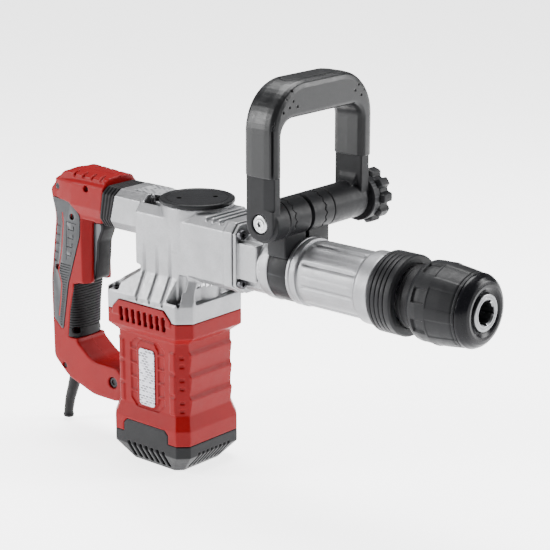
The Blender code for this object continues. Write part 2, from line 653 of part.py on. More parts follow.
def chuck_sleeve():
    """Grip sleeve of the chuck, with rectangular recesses round its back edge."""
    profile = [(0.2755, 0.0265), (0.2755, 0.0300), (0.2790, 0.0322), (0.2860, 0.0330), (0.2930, 0.0330),
               (0.3060, 0.0318), (0.3200, 0.0300), (0.3200, 0.0180), (0.2920, 0.0180), (0.2920, 0.0265)]
    sleeve = turned("chuck_sleeve", profile, "X", (0, 0, up(0)), "charcoal_plastic", 28)
    for i in range(8):
        angle = 2 * math.pi * (i + 0.5) / 8
        recess = box(f"grip_recess_{i}", (0.2815, -0.0060, 0.0312), (0.2925, 0.0060, 0.0400))
        recess.matrix_world = Matrix.Translation((0, 0, up(0))) @ Matrix.Rotation(angle, 4, "X")
        cut(sleeve, recess)
    return sleeve


def adjust_collar():
    profile = [(0.2382, 0.0226), (0.2382, 0.0320), (0.2392, 0.0330), (0.2610, 0.0330), (0.2622, 0.0316),
               (0.2622, 0.0262), (0.2585, 0.0262), (0.2585, 0.0226)]
    return turned("adjust_collar", profile, "X", (0, 0, up(0)), "charcoal_plastic", 28)


# ---------------------------------------------------------------- rear handle
HANDLE_CORNERS = [
    (head_front(0.044), 0.0440, 0.003), (-0.1180, 0.0468, 0.012), (-0.1370, 0.0265, 0.006),
    (-0.1310, 0.0020, 0.030), (-0.1400, -0.0600, 0.080), (-0.1395, -0.1340, 0.010),
    (-0.1210, -0.1500, 0.020), (-0.0880, -0.1605, 0.030), (-0.0480, -0.1605, 0.013),
    (-0.0480, -0.1285, 0.013), (-0.0880, -0.1285, 0.020), (-0.1075, -0.1140, 0.006),
    (-0.1075, -0.0580, 0.003), (-0.0915, -0.0560, 0.002), (-0.0900, 0.0020, 0.003),
    (head_front(0.004), 0.0040, 0.002),
]
HOLLOW_FRONT_X = -0.1010     # the grip is solid ahead of here, beside the trigger
# half section of the handle's head: half width, height, and X of the head's back there
HEAD_STATIONS = [(GAP / 2, 0.0466, -0.1180), (0.0140, 0.0456, -0.1180), (0.0212, 0.0372, -0.1300),
                 (0.0212, 0.0168, -0.1335), (0.0180, 0.0070, -0.1310), (GAP / 2, 0.0070, -0.1310)]
OVERLAY_CORNERS = [
    (-0.1345, 0.0200, 0.002), (-0.1100, 0.0180, 0.006), (-0.0985, 0.0070, 0.008),
    (-0.0995, -0.0120, 0.020), (-0.1165, -0.0600, 0.020), (-0.1253, -0.1065, 0.002),
    (-0.1372, -0.0960, 0.003), (-0.1372, -0.0600, 0.050), (-0.1280, 0.0010, 0.030),
]
FRONT_GRIP = [(-0.1070, -0.0588), (-0.1085, -0.0588), (-0.1150, -0.0850), (-0.1185, -0.1112),
              (-0.1070, -0.1112)]


def raise_outline(outline):
    return [(x, up(height)) for x, height in outline]


def side_span(side, inner, outer):
    return sorted((side * inner, side * outer))


def handle_shell(side, name):
    """One half of the rear handle: a hollow clamshell split on the tool's middle plane."""
    outline = rounded(HANDLE_CORNERS, 2)
    low, high = side_span(side, GAP / 2, HANDLE_HALF_WIDTH)
    shell = plate(name, raise_outline(outline), "Y", low, high, "red_plastic")
    front = [(head_front(height), side * y, up(height)) for y, height, _ in HEAD_STATIONS]
    back = [(back_x, side * (y if y == GAP / 2 else y * 0.82), up(height))
            for y, height, back_x in HEAD_STATIONS]
    join(shell, loft(name + "_head", [front, back]))
    low, high = side_span(side, -0.001, HANDLE_HALF_WIDTH - SHELL_WALL)
    core = [(min(x, HOLLOW_FRONT_X) if -0.0570 < height < 0.0030 else x, height)
            for x, height, _ in HANDLE_CORNERS]
    inner = inset(core, SHELL_WALL)
    hollow = plate(name + "_hollow", raise_outline(inner), "Y", low, high)
    low, high = side_span(side, -0.001, LUG_HALF_WIDTH + 0.0008)
    lug_way = box(name + "_lug_way", (-0.0780, low, up(-0.1560)), (-0.040, high, up(-0.1315)))
    low, high = side_span(side, -0.001, 0.0088)
    trigger_way = box(name + "_trigger_way", (-0.1080, low, up(-0.0575)), (-0.0800, high, up(0.0010)))
    taper = [(-0.0985, side * 0.0181), (-0.0885, side * 0.0094), (-0.0800, side * 0.0094),
             (-0.0800, side * 0.0250), (-0.0985, side * 0.0250)]
    trigger_taper = plate(name + "_trigger_taper", taper, "Z", up(-0.0600), up(0.0045))
    low, high = side_span(side, HANDLE_HALF_WIDTH - 0.0015, 0.030)
    overlay_bed = plate(name + "_overlay_bed", raise_outline(rounded(OVERLAY_CORNERS, 2)), "Y", low, high)
    pivot = (HANDLE_PIVOT[0], 0, up(HANDLE_PIVOT[1]))
    bolt_way = rod(name + "_bolt_way", 0.0044, pivot, side * 0.030, "Y", sides=16)
    head_way = rod(name + "_head_way", 0.0072, (pivot[0], side * 0.0150, pivot[2]), side * 0.030, "Y",
                   sides=20)
    boot_way = rod(name + "_boot_way", 0.0074, (-0.1295, 0, up(-0.1700)), up(-0.1380), "Z")
    low, high = side_span(side, 0.0157, 0.030)
    grip_bed = plate(name + "_grip_bed", raise_outline(inset(FRONT_GRIP, -GAP)), "Y", low, high)
    front_bed = box(name + "_front_bed", (-0.1100, -0.030, up(-0.1115)), (-0.095, 0.030, up(-0.0585)))
    return cut(shell, hollow, lug_way, trigger_way, trigger_taper, overlay_bed, bolt_way, head_way,
               boot_way, grip_bed, front_bed)


def handle_rubbers():
    outline = inset(rounded(OVERLAY_CORNERS, 2), GAP)
    for side, name in ((1, "left"), (-1, "right")):
        low, high = side_span(side, HANDLE_HALF_WIDTH - 0.0015 + GAP, HANDLE_HALF_WIDTH + 0.0004)
        plate(f"grip_overlay_{name}", raise_outline(outline), "Y", low, high, "grey_rubber")
    wrap = plate("front_grip", raise_outline(FRONT_GRIP), "Y", -0.0182, 0.0182, "black_rubber")
    soften(wrap, 0.0015)
    cut(wrap, box("front_grip_core", (-0.1300, -0.0160, up(-0.1300)), (-0.1097, 0.0160, up(-0.0400))))


def trigger_group():
    corners = [(-0.0985, -0.0010, 0.001), (-0.0790, 0.0010, 0.002), (-0.0790, -0.0050, 0.003),
               (-0.0845, -0.0170, 0.010), (-0.0860, -0.0330, 0.020), (-0.0890, -0.0535, 0.005),
               (-0.0990, -0.0550, 0.001)]
    trigger = plate("trigger", raise_outline(rounded(corners, 2)), "Y", -0.0080, 0.0080, "charcoal_plastic")
    soften(trigger, 0.0012)
    box("switch_body", (-0.1270, -0.0100, up(-0.0450)), (-0.1085, 0.0100, up(-0.0050)), "charcoal_plastic",
        0.0008)


def handle_fixings():
    pivot_x, pivot_z = HANDLE_PIVOT
    profile = [(-0.0172, 0), (-0.0172, 0.0064), (-0.0153, 0.0064), (-0.0153, 0.0040), (0.0153, 0.0040),
               (0.0153, 0.0064), (0.0172, 0.0064), (0.0172, 0)]
    turned("handle_pivot_bolt", profile, "Y", (pivot_x, 0, up(pivot_z)), "steel", 16)
    stations = [((-0.1285, 0, up(-0.1470)), 0.0058), ((-0.1305, 0, up(-0.1575)), 0.0057),
                ((-0.1340, 0, up(-0.1680)), 0.0053), ((-0.1385, 0, up(-0.1800)), 0.0048),
                ((-0.1412, 0, up(-0.1920)), 0.0044), ((-0.1415, 0, up(-0.1955)), 0.0044),
                ((-0.1416, 0, up(-0.1966)), 0.0054), ((-0.1418, 0, up(-0.1988)), 0.0052)]
    boot = pipe("cord_boot", stations, "black_rubber")
    bore = [(place, 0.0030) for place, _ in stations]
    bore[0] = ((-0.1280, 0, up(-0.1430)), 0.0030)
    bore[-1] = ((-0.1420, 0, up(-0.2030)), 0.0030)
    cut(boot, pipe("cord_boot_bore", bore, resolution=2))


def handle_bellows():
    """Rubber bellows between the gear housing's neck and the rear handle."""
    outer, inner = [], []
    for place, shift in ((head_front, GAP), (neck_back, -GAP)):
        outer.append([(place(h) + shift, y * 0.93, up(h)) for y, h in NECK_SECTION])
        beyond = shift * 20
        inner.append([(place(h) - beyond, y * 0.72, up(0.021 + (h - 0.021) * 0.75))
                      for y, h in NECK_SECTION])
    bellows = loft("handle_bellows", outer, "black_rubber")
    cut(bellows, loft("bellows_hollow", inner))


# ---------------------------------------------------------------- D-handle
TILT_X, TILT_HEIGHT = TILT_AXIS
CLAMP_HALF_WIDTH = 0.0280
SLIT_HALF = 0.0022


def band_clamp():
    """Slit clamp round the barrel, with the block and the tube that carry the D-handle."""
    low, high = CLAMP_X
    clamp = ring("band_clamp", low, high, 0.0258, 0.0278, "X", (0, 0, up(0)), "charcoal_plastic", 28)
    block = box("clamp_block", (low, -CLAMP_HALF_WIDTH, up(0.0150)), (high, CLAMP_HALF_WIDTH, up(0.0400)))
    tube = rod("clamp_tube", TUBE_RADIUS, (TILT_X, -0.0280, up(TILT_HEIGHT)), 0.0280, "Y", sides=20)
    cut(block, rod("clamp_block_bore", 0.0263, (0.1200, 0, up(0)), 0.1700, "X", sides=20))
    join(clamp, block, tube)
    return cut(clamp, box("clamp_slit", (0.1200, -SLIT_HALF, up(0.0200)), (0.1700, SLIT_HALF, up(0.0700))),
               rod("barrel_way", 0.0258, (0.1310, 0, up(0)), 0.1540, "X", sides=20),
               rod("clamp_bolt_way", 0.0053, (TILT_X, -0.040, up(TILT_HEIGHT)), 0.040, "Y", sides=16))


def arch_outline(left, right, bottom, top, radius, steps=4):
    """An upright outline in YZ with its two top corners rounded."""
    corners = [(left, up(bottom), 0.0001), (left, up(top), radius), (right, up(top), radius),
               (right, up(bottom), 0.0001)]
    return rounded(corners, steps)


def d_frame_shape(name, slot, spread, bottom):
    """The handle's steel core: an arch of flat bar, grown by a clearance on every side."""
    outer = arch_outline(NEAR_ARM_Y[0] - spread, FAR_ARM_Y[1] + spread, bottom, 0.1480 + spread, 0.024)
    inner = arch_outline(NEAR_ARM_Y[1] + spread, FAR_ARM_Y[0] - spread, bottom - 0.02,
                         0.1390 - spread, 0.014)
    half = ARM_HALF_X + spread
    frame = plate(name, outer, "X", TILT_X - half, TILT_X + half, slot)
    return cut(frame, plate(name + "_window", inner, "X", TILT_X - 0.030, TILT_X + 0.030))


def d_handle_frame():
    frame = d_frame_shape("d_handle_frame", "charcoal_plastic", 0.0, TILT_HEIGHT)
    z = up(TILT_HEIGHT)
    join(frame, rod("near_arm_end", ARM_HALF_X, (TILT_X, NEAR_ARM_Y[0], z), NEAR_ARM_Y[1], "Y", sides=20),
         rod("near_sleeve", TUBE_RADIUS, (TILT_X, NEAR_ARM_Y[0] + 0.004, z), -0.0283, "Y", sides=20),
         rod("far_arm_end", ARM_HALF_X, (TILT_X, FAR_ARM_Y[0], z), FAR_ARM_Y[1], "Y", sides=20),
         rod("far_sleeve", TUBE_RADIUS, (TILT_X, 0.0283, z), FAR_ARM_Y[1] - 0.003, "Y", sides=20))
    return cut(frame, rod("handle_bolt_way", 0.0053, (TILT_X, -0.060, z), 0.090, "Y", sides=16),
               rod("bolt_head_way", 0.0082, (TILT_X, -0.060, z), NEAR_ARM_Y[0] + 0.0030, "Y", sides=20))


def d_handle_grip():
    """Rubber moulded over the top of the D-handle."""
    outer = arch_outline(-0.0500, 0.0768, 0.0850, 0.1600, 0.034)
    inner = arch_outline(-0.0375, 0.0620, 0.0600, 0.1300, 0.012)
    grip = plate("d_handle_grip", outer, "X", TILT_X - 0.0162, TILT_X + 0.0162, "black_rubber")
    cut(grip, plate("grip_window", inner, "X", TILT_X - 0.030, TILT_X + 0.030))
    soften(grip, 0.0035)
    return cut(grip, d_frame_shape("grip_core", None, GAP, 0.040))


def knob_outline(radius, lobes, depth, steps=4):
    """A round outline with scallops: the radius follows a raised cosine between lobes."""
    outline = []
    count = lobes * steps
    for i in range(count):
        angle = 2 * math.pi * i / count
        reach = radius - depth * (0.5 - 0.5 * math.cos(lobes * angle)) ** 2
        outline.append((TILT_X + reach * math.cos(angle), up(TILT_HEIGHT) + reach * math.sin(angle)))
    return outline


def d_handle_fixings():
    z = up(TILT_HEIGHT)
    bolt = [(-0.0478, 0), (-0.0478, 0.0074), (-0.0453, 0.0074), (-0.0453, 0.0050), (0.0880, 0.0050),
            (0.0880, 0)]
    turned("d_handle_bolt", bolt, "Y", (TILT_X, 0, z), "steel", 20)
    knob = plate("d_handle_knob", knob_outline(0.0240, 10, 0.0030), "Y", 0.0820, 0.0970, "charcoal_plastic")
    join(knob, rod("knob_flange", 0.0205, (TILT_X, 0.0745, z), 0.0830, "Y", sides=32))
    cut(knob, rod("knob_thread", 0.0053, (TILT_X, 0.0700, z), 0.0900, "Y", sides=16))


# ---------------------------------------------------------------- joint axes as empties
def joint_empty(name, place):
    empty = bpy.data.objects.new(name, None)
    empty.location = place
    empty.empty_display_size = 0.01
    bpy.data.collections[CUTTERS].objects.link(empty)
    return empty


def hang_moving_parts():
    """Parent every moving piece to an empty on its joint's axis, and nest the joints."""
    axis = (0, 0, up(0))
    tilt = (TILT_X, 0, up(TILT_HEIGHT))
    joints = {
        "rotor_axis": ((0, 0, 0), None,
                       ["armature_shaft", "armature_core", "commutator", "cooling_fan", "pinion"]),
        "crank_axis": ((CRANK_X, 0, 0), None, ["crankshaft", "crank_gear"]),
        "piston_axis": (axis, None, ["piston", "piston_ring", "wrist_pin"]),
        "rod_axis": ((WRIST_X, 0, up(0)), "piston_axis", ["connecting_rod"]),
        "striker_axis": (axis, None, ["striker"]),
        "impact_bolt_axis": (axis, None, ["impact_bolt"]),
        "tool_holder_axis": (axis, None, ["tool_holder", "neck_sleeve", "nose_cap", "locking_roller_left",
                                          "locking_roller_right"]),
        "chuck_sleeve_axis": (axis, "tool_holder_axis", ["chuck_sleeve"]),
        "adjust_collar_axis": (axis, "tool_holder_axis", ["adjust_collar"]),
        "handle_axis": ((HANDLE_PIVOT[0], 0, up(HANDLE_PIVOT[1])), None,
                        ["handle_shell_left", "handle_shell_right", "grip_overlay_left",
                         "grip_overlay_right", "front_grip", "switch_body", "handle_pivot_bolt",
                         "cord_boot"]),
        "trigger_axis": ((TRIGGER_PIVOT[0], 0, up(TRIGGER_PIVOT[1])), "handle_axis", ["trigger"]),
        "clamp_axis": (axis, None, ["band_clamp"]),
        "tilt_axis": (tilt, "clamp_axis", ["d_handle_frame", "d_handle_grip", "d_handle_bolt"]),
        "knob_axis": (tilt, "tilt_axis", ["d_handle_knob"]),
    }
    empties = {name: joint_empty(name, place) for name, (place, _, _) in joints.items()}
    bpy.context.view_layer.update()
    for name, (_, parent, pieces) in joints.items():
        children = [bpy.data.objects[piece] for piece in pieces]
        if parent:
            hang(empties[name], empties[parent])
        for child in children:
            hang(child, empties[name])


def hang(child, parent):
    """Parent without moving the child."""
    child.parent = parent
    child.matrix_parent_inverse = Matrix.Translation(-empty_place(parent))


def empty_place(empty):
    """World location of an empty, whose parents only translate."""
    return Vector(empty.location)


def build():
    clear_scene()
    gear_housing()
    crank_cover()
    screws()
    motor_housing()
    motor_end_cap()
    label_plate()
    rotor()
    motor_fixed_parts()
    crank_drive()
    piston_group()
    hammer_line()
    barrel_housing()
    tool_holder_group()
    chuck_sleeve()
    adjust_collar()
    handle_shell(1, "handle_shell_left")
    handle_shell(-1, "handle_shell_right")
    handle_rubbers()
    trigger_group()
    handle_fixings()
    handle_bellows()
    band_clamp()
    d_handle_frame()
    d_handle_grip()
    d_handle_fixings()
    hang_moving_parts()


build()
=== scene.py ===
"""Looks of the electric jackhammer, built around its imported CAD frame."""
import json
import math

import bmesh
import bpy
from mathutils import Matrix, Vector


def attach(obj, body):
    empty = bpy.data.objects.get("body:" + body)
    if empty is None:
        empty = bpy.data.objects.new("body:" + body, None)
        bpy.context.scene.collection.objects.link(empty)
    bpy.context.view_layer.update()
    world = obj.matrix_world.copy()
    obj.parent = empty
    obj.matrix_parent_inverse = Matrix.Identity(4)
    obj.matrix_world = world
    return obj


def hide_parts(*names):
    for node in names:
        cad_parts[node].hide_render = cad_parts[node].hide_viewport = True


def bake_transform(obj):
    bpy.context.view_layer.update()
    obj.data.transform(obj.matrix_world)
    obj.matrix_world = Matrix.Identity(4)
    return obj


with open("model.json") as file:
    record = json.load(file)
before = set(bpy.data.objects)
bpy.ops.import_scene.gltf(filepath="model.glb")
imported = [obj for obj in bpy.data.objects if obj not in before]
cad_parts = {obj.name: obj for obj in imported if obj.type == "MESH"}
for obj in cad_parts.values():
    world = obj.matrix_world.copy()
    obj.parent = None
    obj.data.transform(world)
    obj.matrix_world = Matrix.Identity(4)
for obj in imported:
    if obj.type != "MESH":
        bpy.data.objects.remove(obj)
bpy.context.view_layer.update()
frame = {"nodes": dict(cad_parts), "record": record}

HAMMER_AXIS_Z = 0.202
AXIS = (0, 0, HAMMER_AXIS_Z)
CRANK_X = 0.0293

CAMERA_LENS = 122.2
CAMERA_PLACE = (1.0953, -1.1245, 0.6279)
CAMERA_TARGET = (0.1172, 0.0, 0.1913)
STUDIO_MIDDLE = (0.08, 0.0, 0.16)
LIGHTS = (                               # name, place, size and watts
    ("key_left", (-1.1, -1.3, 0.8), (0.6, 1.0), 62),
    ("key_right", (1.25, 1.15, 0.8), (0.6, 1.0), 45),
    ("top_soft", (-0.1, 0.3, 1.4), (1.0, 0.8), 50),
)
WORLD_STRENGTH = 0.15
FLOOR_SIZE = 6.0
FLOOR_Z = -0.0003                        # just below the foot, so the two faces never share a plane
FLOOR_GLOW = 3.0


def up(height):
    """World height of a point given from the hammer axis."""
    return HAMMER_AXIS_Z + height


def risen(points):
    """(x, height) points, with the heights turned into world heights."""
    return [(x, up(height)) for x, height in points]


SIDES = ((1, "left"), (-1, "right"))
BARREL_BOLTS = [(0.0245, 0.026), (-0.0245, 0.026), (0.0245, -0.016), (-0.0245, -0.016)]   # y and height
SCREW_HEAD = 0.004                       # height of a socket-head screw's head
SCREW_SHANK = 0.0024                     # and its shank's radius


# ------------------------ camera, floor and light
def look_at(item, target):
    direction = Vector(target) - item.location
    item.rotation_euler = direction.to_track_quat("-Z", "Y").to_euler()


def placed(name, data, place=(0, 0, 0)):
    """A new object, linked into the scene."""
    item = bpy.data.objects.new(name, data)
    bpy.context.scene.collection.objects.link(item)
    item.location = place
    return item


def make_camera():
    data = bpy.data.cameras.new("camera")
    data.lens = CAMERA_LENS
    data.sensor_width = 36.0
    camera = placed("camera", data, CAMERA_PLACE)
    look_at(camera, CAMERA_TARGET)
    bpy.context.scene.camera = camera


def area_light(name, place, size, power):
    data = bpy.data.lights.new(name, "AREA")
    data.shape = "RECTANGLE"
    data.size, data.size_y = size
    data.energy = power
    look_at(placed(name, data, place), STUDIO_MIDDLE)


def make_studio():
    world = bpy.data.worlds.new("studio")
    bpy.context.scene.world = world
    world.use_nodes = True
    background = world.node_tree.nodes["Background"]
    background.inputs["Color"].default_value = (0.98, 0.985, 1.0, 1.0)
    background.inputs["Strength"].default_value = WORLD_STRENGTH
    for light in LIGHTS:
        area_light(*light)
    shape = bmesh.new()
    bmesh.ops.create_grid(shape, x_segments=2, y_segments=2, size=FLOOR_SIZE)
    mesh = bpy.data.meshes.new("floor")
    shape.to_mesh(mesh)
    shape.free()
    floor = placed("floor", mesh, (0, 0, FLOOR_Z))
    paint = bpy.data.materials.new("floor_paint")
    paint.use_nodes = True
    shader = paint.node_tree.nodes["Principled BSDF"]
    shader.inputs["Base Color"].default_value = (0.86, 0.86, 0.87, 1.0)
    shader.inputs["Roughness"].default_value = 0.6
    shader.inputs["Emission Color"].default_value = (1.0, 1.0, 1.0, 1.0)
    shader.inputs["Emission Strength"].default_value = FLOOR_GLOW
    mesh.materials.append(paint)


# ------------------------ materials
def surface(name, colour, metallic=0.0, roughness=0.5, grain=(900, 0.00012), mottle=0.1, wear_and_highlight=None,
        dirt_and_shade=0.35, specular=0.5, bars=None):
    """A Principled material with grain, tone variation, hollows darkened as dirt and painted shade, and
    edges lightened as wear and a painted highlight.

    grain is (scale per metre, bump height in metres) and wear_and_highlight is the colour that shows on
    edges, as wear and a painted highlight.
    bars is (first axis, second axis, bar length, row height) of plain printed bars.
    """
    paint = bpy.data.materials.new(name + "_look")
    paint.use_nodes = True
    nodes, links = paint.node_tree.nodes, paint.node_tree.links
    shader = nodes["Principled BSDF"]
    shader.inputs["Metallic"].default_value = metallic
    shader.inputs["Specular IOR Level"].default_value = specular

    def node(kind, **values):
        made = nodes.new("ShaderNode" + kind)
        for socket, value in values.items():
            made.inputs[socket.replace("_", " ")].default_value = value
        return made

    place = node("TexCoord")

    def noise(scale, detail=4.0):
        made = node("TexNoise", Scale=scale, Detail=detail)
        links.new(place.outputs["Object"], made.inputs["Vector"])
        return made.outputs["Fac"]

    def spread(value, low, high, start=0.3, end=0.7):
        made = node("MapRange", From_Min=start, From_Max=end, To_Min=low, To_Max=high)
        links.new(value, made.inputs["Value"])
        return made.outputs["Result"]

    def mix(factor, first, second):
        made = node("Mix")
        made.data_type = "RGBA"
        links.new(factor, made.inputs["Factor"])
        for socket, value in ((made.inputs[6], first), (made.inputs[7], second)):
            if isinstance(value, tuple):
                socket.default_value = (*value, 1.0)
            else:
                links.new(value, socket)
        return made.outputs[2]

    darker = tuple(c * (1 - mottle) for c in colour)
    lighter = tuple(min(1.0, c * (1 + mottle)) for c in colour)
    tone = mix(spread(noise(45, 6.0), 0.0, 1.0), darker, lighter)
    speck = mix(spread(noise(grain[0] * 0.6, 2.0), 0.0, 0.5, 0.45, 0.75), tone,
        tuple(c * 0.8 for c in colour))
    bent = node("NewGeometry").outputs["Pointiness"]
    # Painted shade, partly dirt: concave hollows (low pointiness) darken towards a third of the colour.
    base_with_painted_light = mix(spread(bent, dirt_and_shade, 0.0, 0.42, 0.495), speck, tuple(c * 0.35 for c in colour))
    # Painted highlight, partly wear: sharp edges (high pointiness) lighten towards the edge colour.
    if wear_and_highlight:
        base_with_painted_light = mix(spread(bent, 0.0, 0.75, 0.53, 0.6), base_with_painted_light, wear_and_highlight)
    if bars:
        apart, flat = node("SeparateXYZ"), node("CombineXYZ")
        links.new(place.outputs["Object"], apart.inputs[0])
        links.new(apart.outputs[bars[0]], flat.inputs["X"])
        links.new(apart.outputs[bars[1]], flat.inputs["Y"])
        rows = node("TexBrick", Scale=1.0, Brick_Width=bars[2], Row_Height=bars[3],
            Mortar_Size=bars[3] * 0.24, Color1=(0, 0, 0, 1), Color2=(1, 1, 1, 1), Mortar=(1, 1, 1, 1))
        links.new(flat.outputs[0], rows.inputs["Vector"])
        base_with_painted_light = mix(spread(rows.outputs["Color"], 0.95, 0.0, 0.45, 0.8), base_with_painted_light, (0.015, 0.015, 0.018))
    links.new(base_with_painted_light, shader.inputs["Base Color"])
    links.new(spread(noise(220, 5.0), roughness - 0.07, roughness + 0.07), shader.inputs["Roughness"])
    bump = node("Bump", Strength=0.8, Distance=grain[1])
    links.new(noise(grain[0]), bump.inputs["Height"])
    links.new(bump.outputs["Normal"], shader.inputs["Normal"])
    return paint


PAINTS = {paint.name.removesuffix("_look"): paint for paint in (
    surface("cast_aluminium", (0.2, 0.202, 0.208), 0.75, 0.4, (1300, 0.0003), 0.14, (0.42, 0.42, 0.43),
            0.6),
    surface("red_plastic", (0.135, 0.0021, 0.003), 0.0, 0.42, (2200, 0.00006), 0.07, (0.22, 0.018, 0.018),
            0.5, specular=0.09),
    surface("charcoal_plastic", (0.0095, 0.0097, 0.0105), 0.0, 0.42, (2400, 0.00008), 0.14,
            (0.028, 0.029, 0.031), 0.4, specular=0.09),
    surface("grey_rubber", (0.019, 0.0205, 0.023), 0.0, 0.58, (3000, 0.00009), 0.12, (0.085, 0.088, 0.092),
            0.5, specular=0.3),
    surface("black_rubber", (0.005, 0.0049, 0.0055), 0.0, 0.52, (2600, 0.00009), 0.15,
            (0.014, 0.014, 0.015), 0.4, specular=0.12),
    surface("grip_rubber", (0.0055, 0.0058, 0.0063), 0.0, 0.36, (2600, 0.00006), 0.14,
            (0.018, 0.019, 0.021), 0.4, specular=0.22),
    surface("trigger_grey", (0.06, 0.063, 0.07), 0.0, 0.45, (2400, 0.00006), 0.1, (0.1, 0.105, 0.11), 0.4,
            specular=0.3),
    surface("gloss_black", (0.004, 0.004, 0.005), 0.0, 0.24, (900, 0.00001), 0.1, None, 0.2, specular=0.1),
    surface("label", (0.42, 0.42, 0.45), 0.2, 0.35, (1500, 0.00001), 0.04, None, 0.2),
    surface("side_label", (0.42, 0.42, 0.47), 0.1, 0.35, (1500, 0.00001), 0.04, None, 0.2,
            bars=("X", "Z", 0.0042, 0.0023)),
    surface("neck_label", (0.3, 0.305, 0.315), 0.3, 0.35, (1500, 0.00001), 0.04, None, 0.2,
            bars=("Y", "X", 0.0046, 0.0036)),
    surface("steel", (0.36, 0.365, 0.37), 1.0, 0.28, (1800, 0.00003), 0.1, (0.6, 0.6, 0.61), 0.5),
    surface("dark_steel", (0.03, 0.03, 0.033), 0.9, 0.34, (1800, 0.00003), 0.12, (0.16, 0.16, 0.17), 0.5),
    surface("black_steel", (0.01, 0.01, 0.011), 0.5, 0.42, (1800, 0.00003), 0.12, (0.05, 0.05, 0.055), 0.5,
            specular=0.2),
    surface("tool_steel", (0.15, 0.152, 0.158), 1.0, 0.36, (1800, 0.00003), 0.14, (0.42, 0.42, 0.43), 0.5),
    surface("lamination", (0.16, 0.16, 0.17), 0.8, 0.45, (1500, 0.0001), 0.15, None, 0.4),
    surface("copper", (0.5, 0.22, 0.1), 1.0, 0.3, (1500, 0.00003), 0.1, None, 0.4),
    surface("carbon", (0.012, 0.012, 0.012), 0.1, 0.6, (2500, 0.00008), 0.2, None, 0.4),
    surface("brass", (0.44, 0.32, 0.12), 1.0, 0.32, (1500, 0.00003), 0.1, None, 0.4),
)}

# ------------------------ shapes
HELPERS = []


def new_item(name, mesh):
    item = placed(name, mesh)
    HELPERS.append(item)
    return item


def from_bmesh(name, shape):
    bmesh.ops.recalc_face_normals(shape, faces=shape.faces)
    mesh = bpy.data.meshes.new(name)
    shape.to_mesh(mesh)
    shape.free()
    return new_item(name, mesh)


def baked(item):
    """Apply all of an item's modifiers."""
    bpy.context.view_layer.update()
    graph = bpy.context.evaluated_depsgraph_get()
    mesh = bpy.data.meshes.new_from_object(item.evaluated_get(graph))
    item.modifiers.clear()
    item.data = mesh
    return item


def combine(item, tools, operation):
    for tool in tools:
        step = item.modifiers.new(tool.name, "BOOLEAN")
        step.operation = operation
        step.solver = "MANIFOLD"
        step.object = tool
    return item


def cut(item, *tools):
    return combine(item, tools, "DIFFERENCE")


def join(item, *tools):
    return combine(item, tools, "UNION")


def soften(item, width, segments=2, degrees=30):
    bevel = item.modifiers.new("edges", "BEVEL")
    bevel.width = width
    bevel.segments = segments
    bevel.limit_method = "ANGLE"
    bevel.angle_limit = math.radians(degrees)
    return item


def thinned(item, keep):
    """Reduce an item's faces to a share of them."""
    item.modifiers.new("thin", "DECIMATE").ratio = keep
    return item


def moulded(item, grain=0.0008, rounds=3, keep=1.0):
    """Round every edge and corner a little, as a casting or a moulding is."""
    remesh = item.modifiers.new("remesh", "REMESH")
    remesh.mode = "VOXEL"
    remesh.voxel_size = grain
    relax = item.modifiers.new("relax", "SMOOTH")
    relax.factor = 0.5
    relax.iterations = rounds
    if keep < 1:
        thinned(item, keep)
    baked(item)
    item.data.shade_smooth()
    return item


def sharp(item, degrees=35):
    baked(item)
    item.data.shade_smooth()
    item.data.set_sharp_from_angle(angle=math.radians(degrees))
    return item


def axis_turn(axis):
    """Rotation that brings local +Z onto a world axis."""
    turns = {"X": Matrix.Rotation(math.pi / 2, 4, "Y"),
             "Y": Matrix.Rotation(-math.pi / 2, 4, "X"),
             "Z": Matrix.Identity(4)}
    return turns[axis]


def box(name, low, high, bevel=0.0, segments=2):
    shape = bmesh.new()
    bmesh.ops.create_cube(shape, size=1.0)
    bmesh.ops.scale(shape, vec=Vector(high) - Vector(low), verts=shape.verts)
    bmesh.ops.translate(shape, vec=(Vector(high) + Vector(low)) / 2, verts=shape.verts)
    item = from_bmesh(name, shape)
    if bevel:
        soften(item, bevel, segments)
    return item


def rod(name, radius, start, end, axis, sides=64):
    """A cylinder along an axis, from a point to the coordinate given as its end."""
    start = Vector(start)
    length = end - start["XYZ".index(axis)]
    shape = bmesh.new()
    bmesh.ops.create_cone(shape, cap_ends=True, segments=sides, radius1=radius, radius2=radius,
        depth=abs(length))
    bmesh.ops.translate(shape, vec=(0, 0, length / 2), verts=shape.verts)
    bmesh.ops.transform(shape, matrix=Matrix.Translation(start) @ axis_turn(axis), verts=shape.verts)
    return from_bmesh(name, shape)


def skin_loops(shape, loops, closed=False):
    """Quads between successive loops, where a loop of one vertex makes a fan."""
    pairs = list(zip(loops, loops[1:]))
    if closed:
        pairs.append((loops[-1], loops[0]))
    for low, high in pairs:
        count = max(len(low), len(high))
        for i in range(count):
            j = (i + 1) % count
            corners = [low[i % len(low)], low[j % len(low)], high[j % len(high)], high[i % len(high)]]
            shape.faces.new(list(dict.fromkeys(corners)))


def revolve(name, profile, axis, centre=(0, 0, 0), steps=96, form=None):
    """A turned shape from (along, radius) points: closed, or solid when it starts and ends on the axis.

    form(along, radius, angle) may return another radius, for flutes, lobes and recesses.
    """
    shape = bmesh.new()
    loops = []
    for along, radius in profile:
        if radius == 0:
            loops.append([shape.verts.new((0, 0, along))])
            continue
        loop = []
        for i in range(steps):
            angle = 2 * math.pi * i / steps
            reach = form(along, radius, angle) if form else radius
            loop.append(shape.verts.new((reach * math.cos(angle), reach * math.sin(angle), along)))
        loops.append(loop)
    skin_loops(shape, loops, closed=profile[0][1] > 0)
    place = Matrix.Translation(Vector(centre)) @ axis_turn(axis)
    bmesh.ops.transform(shape, matrix=place, verts=shape.verts)
    return from_bmesh(name, shape)


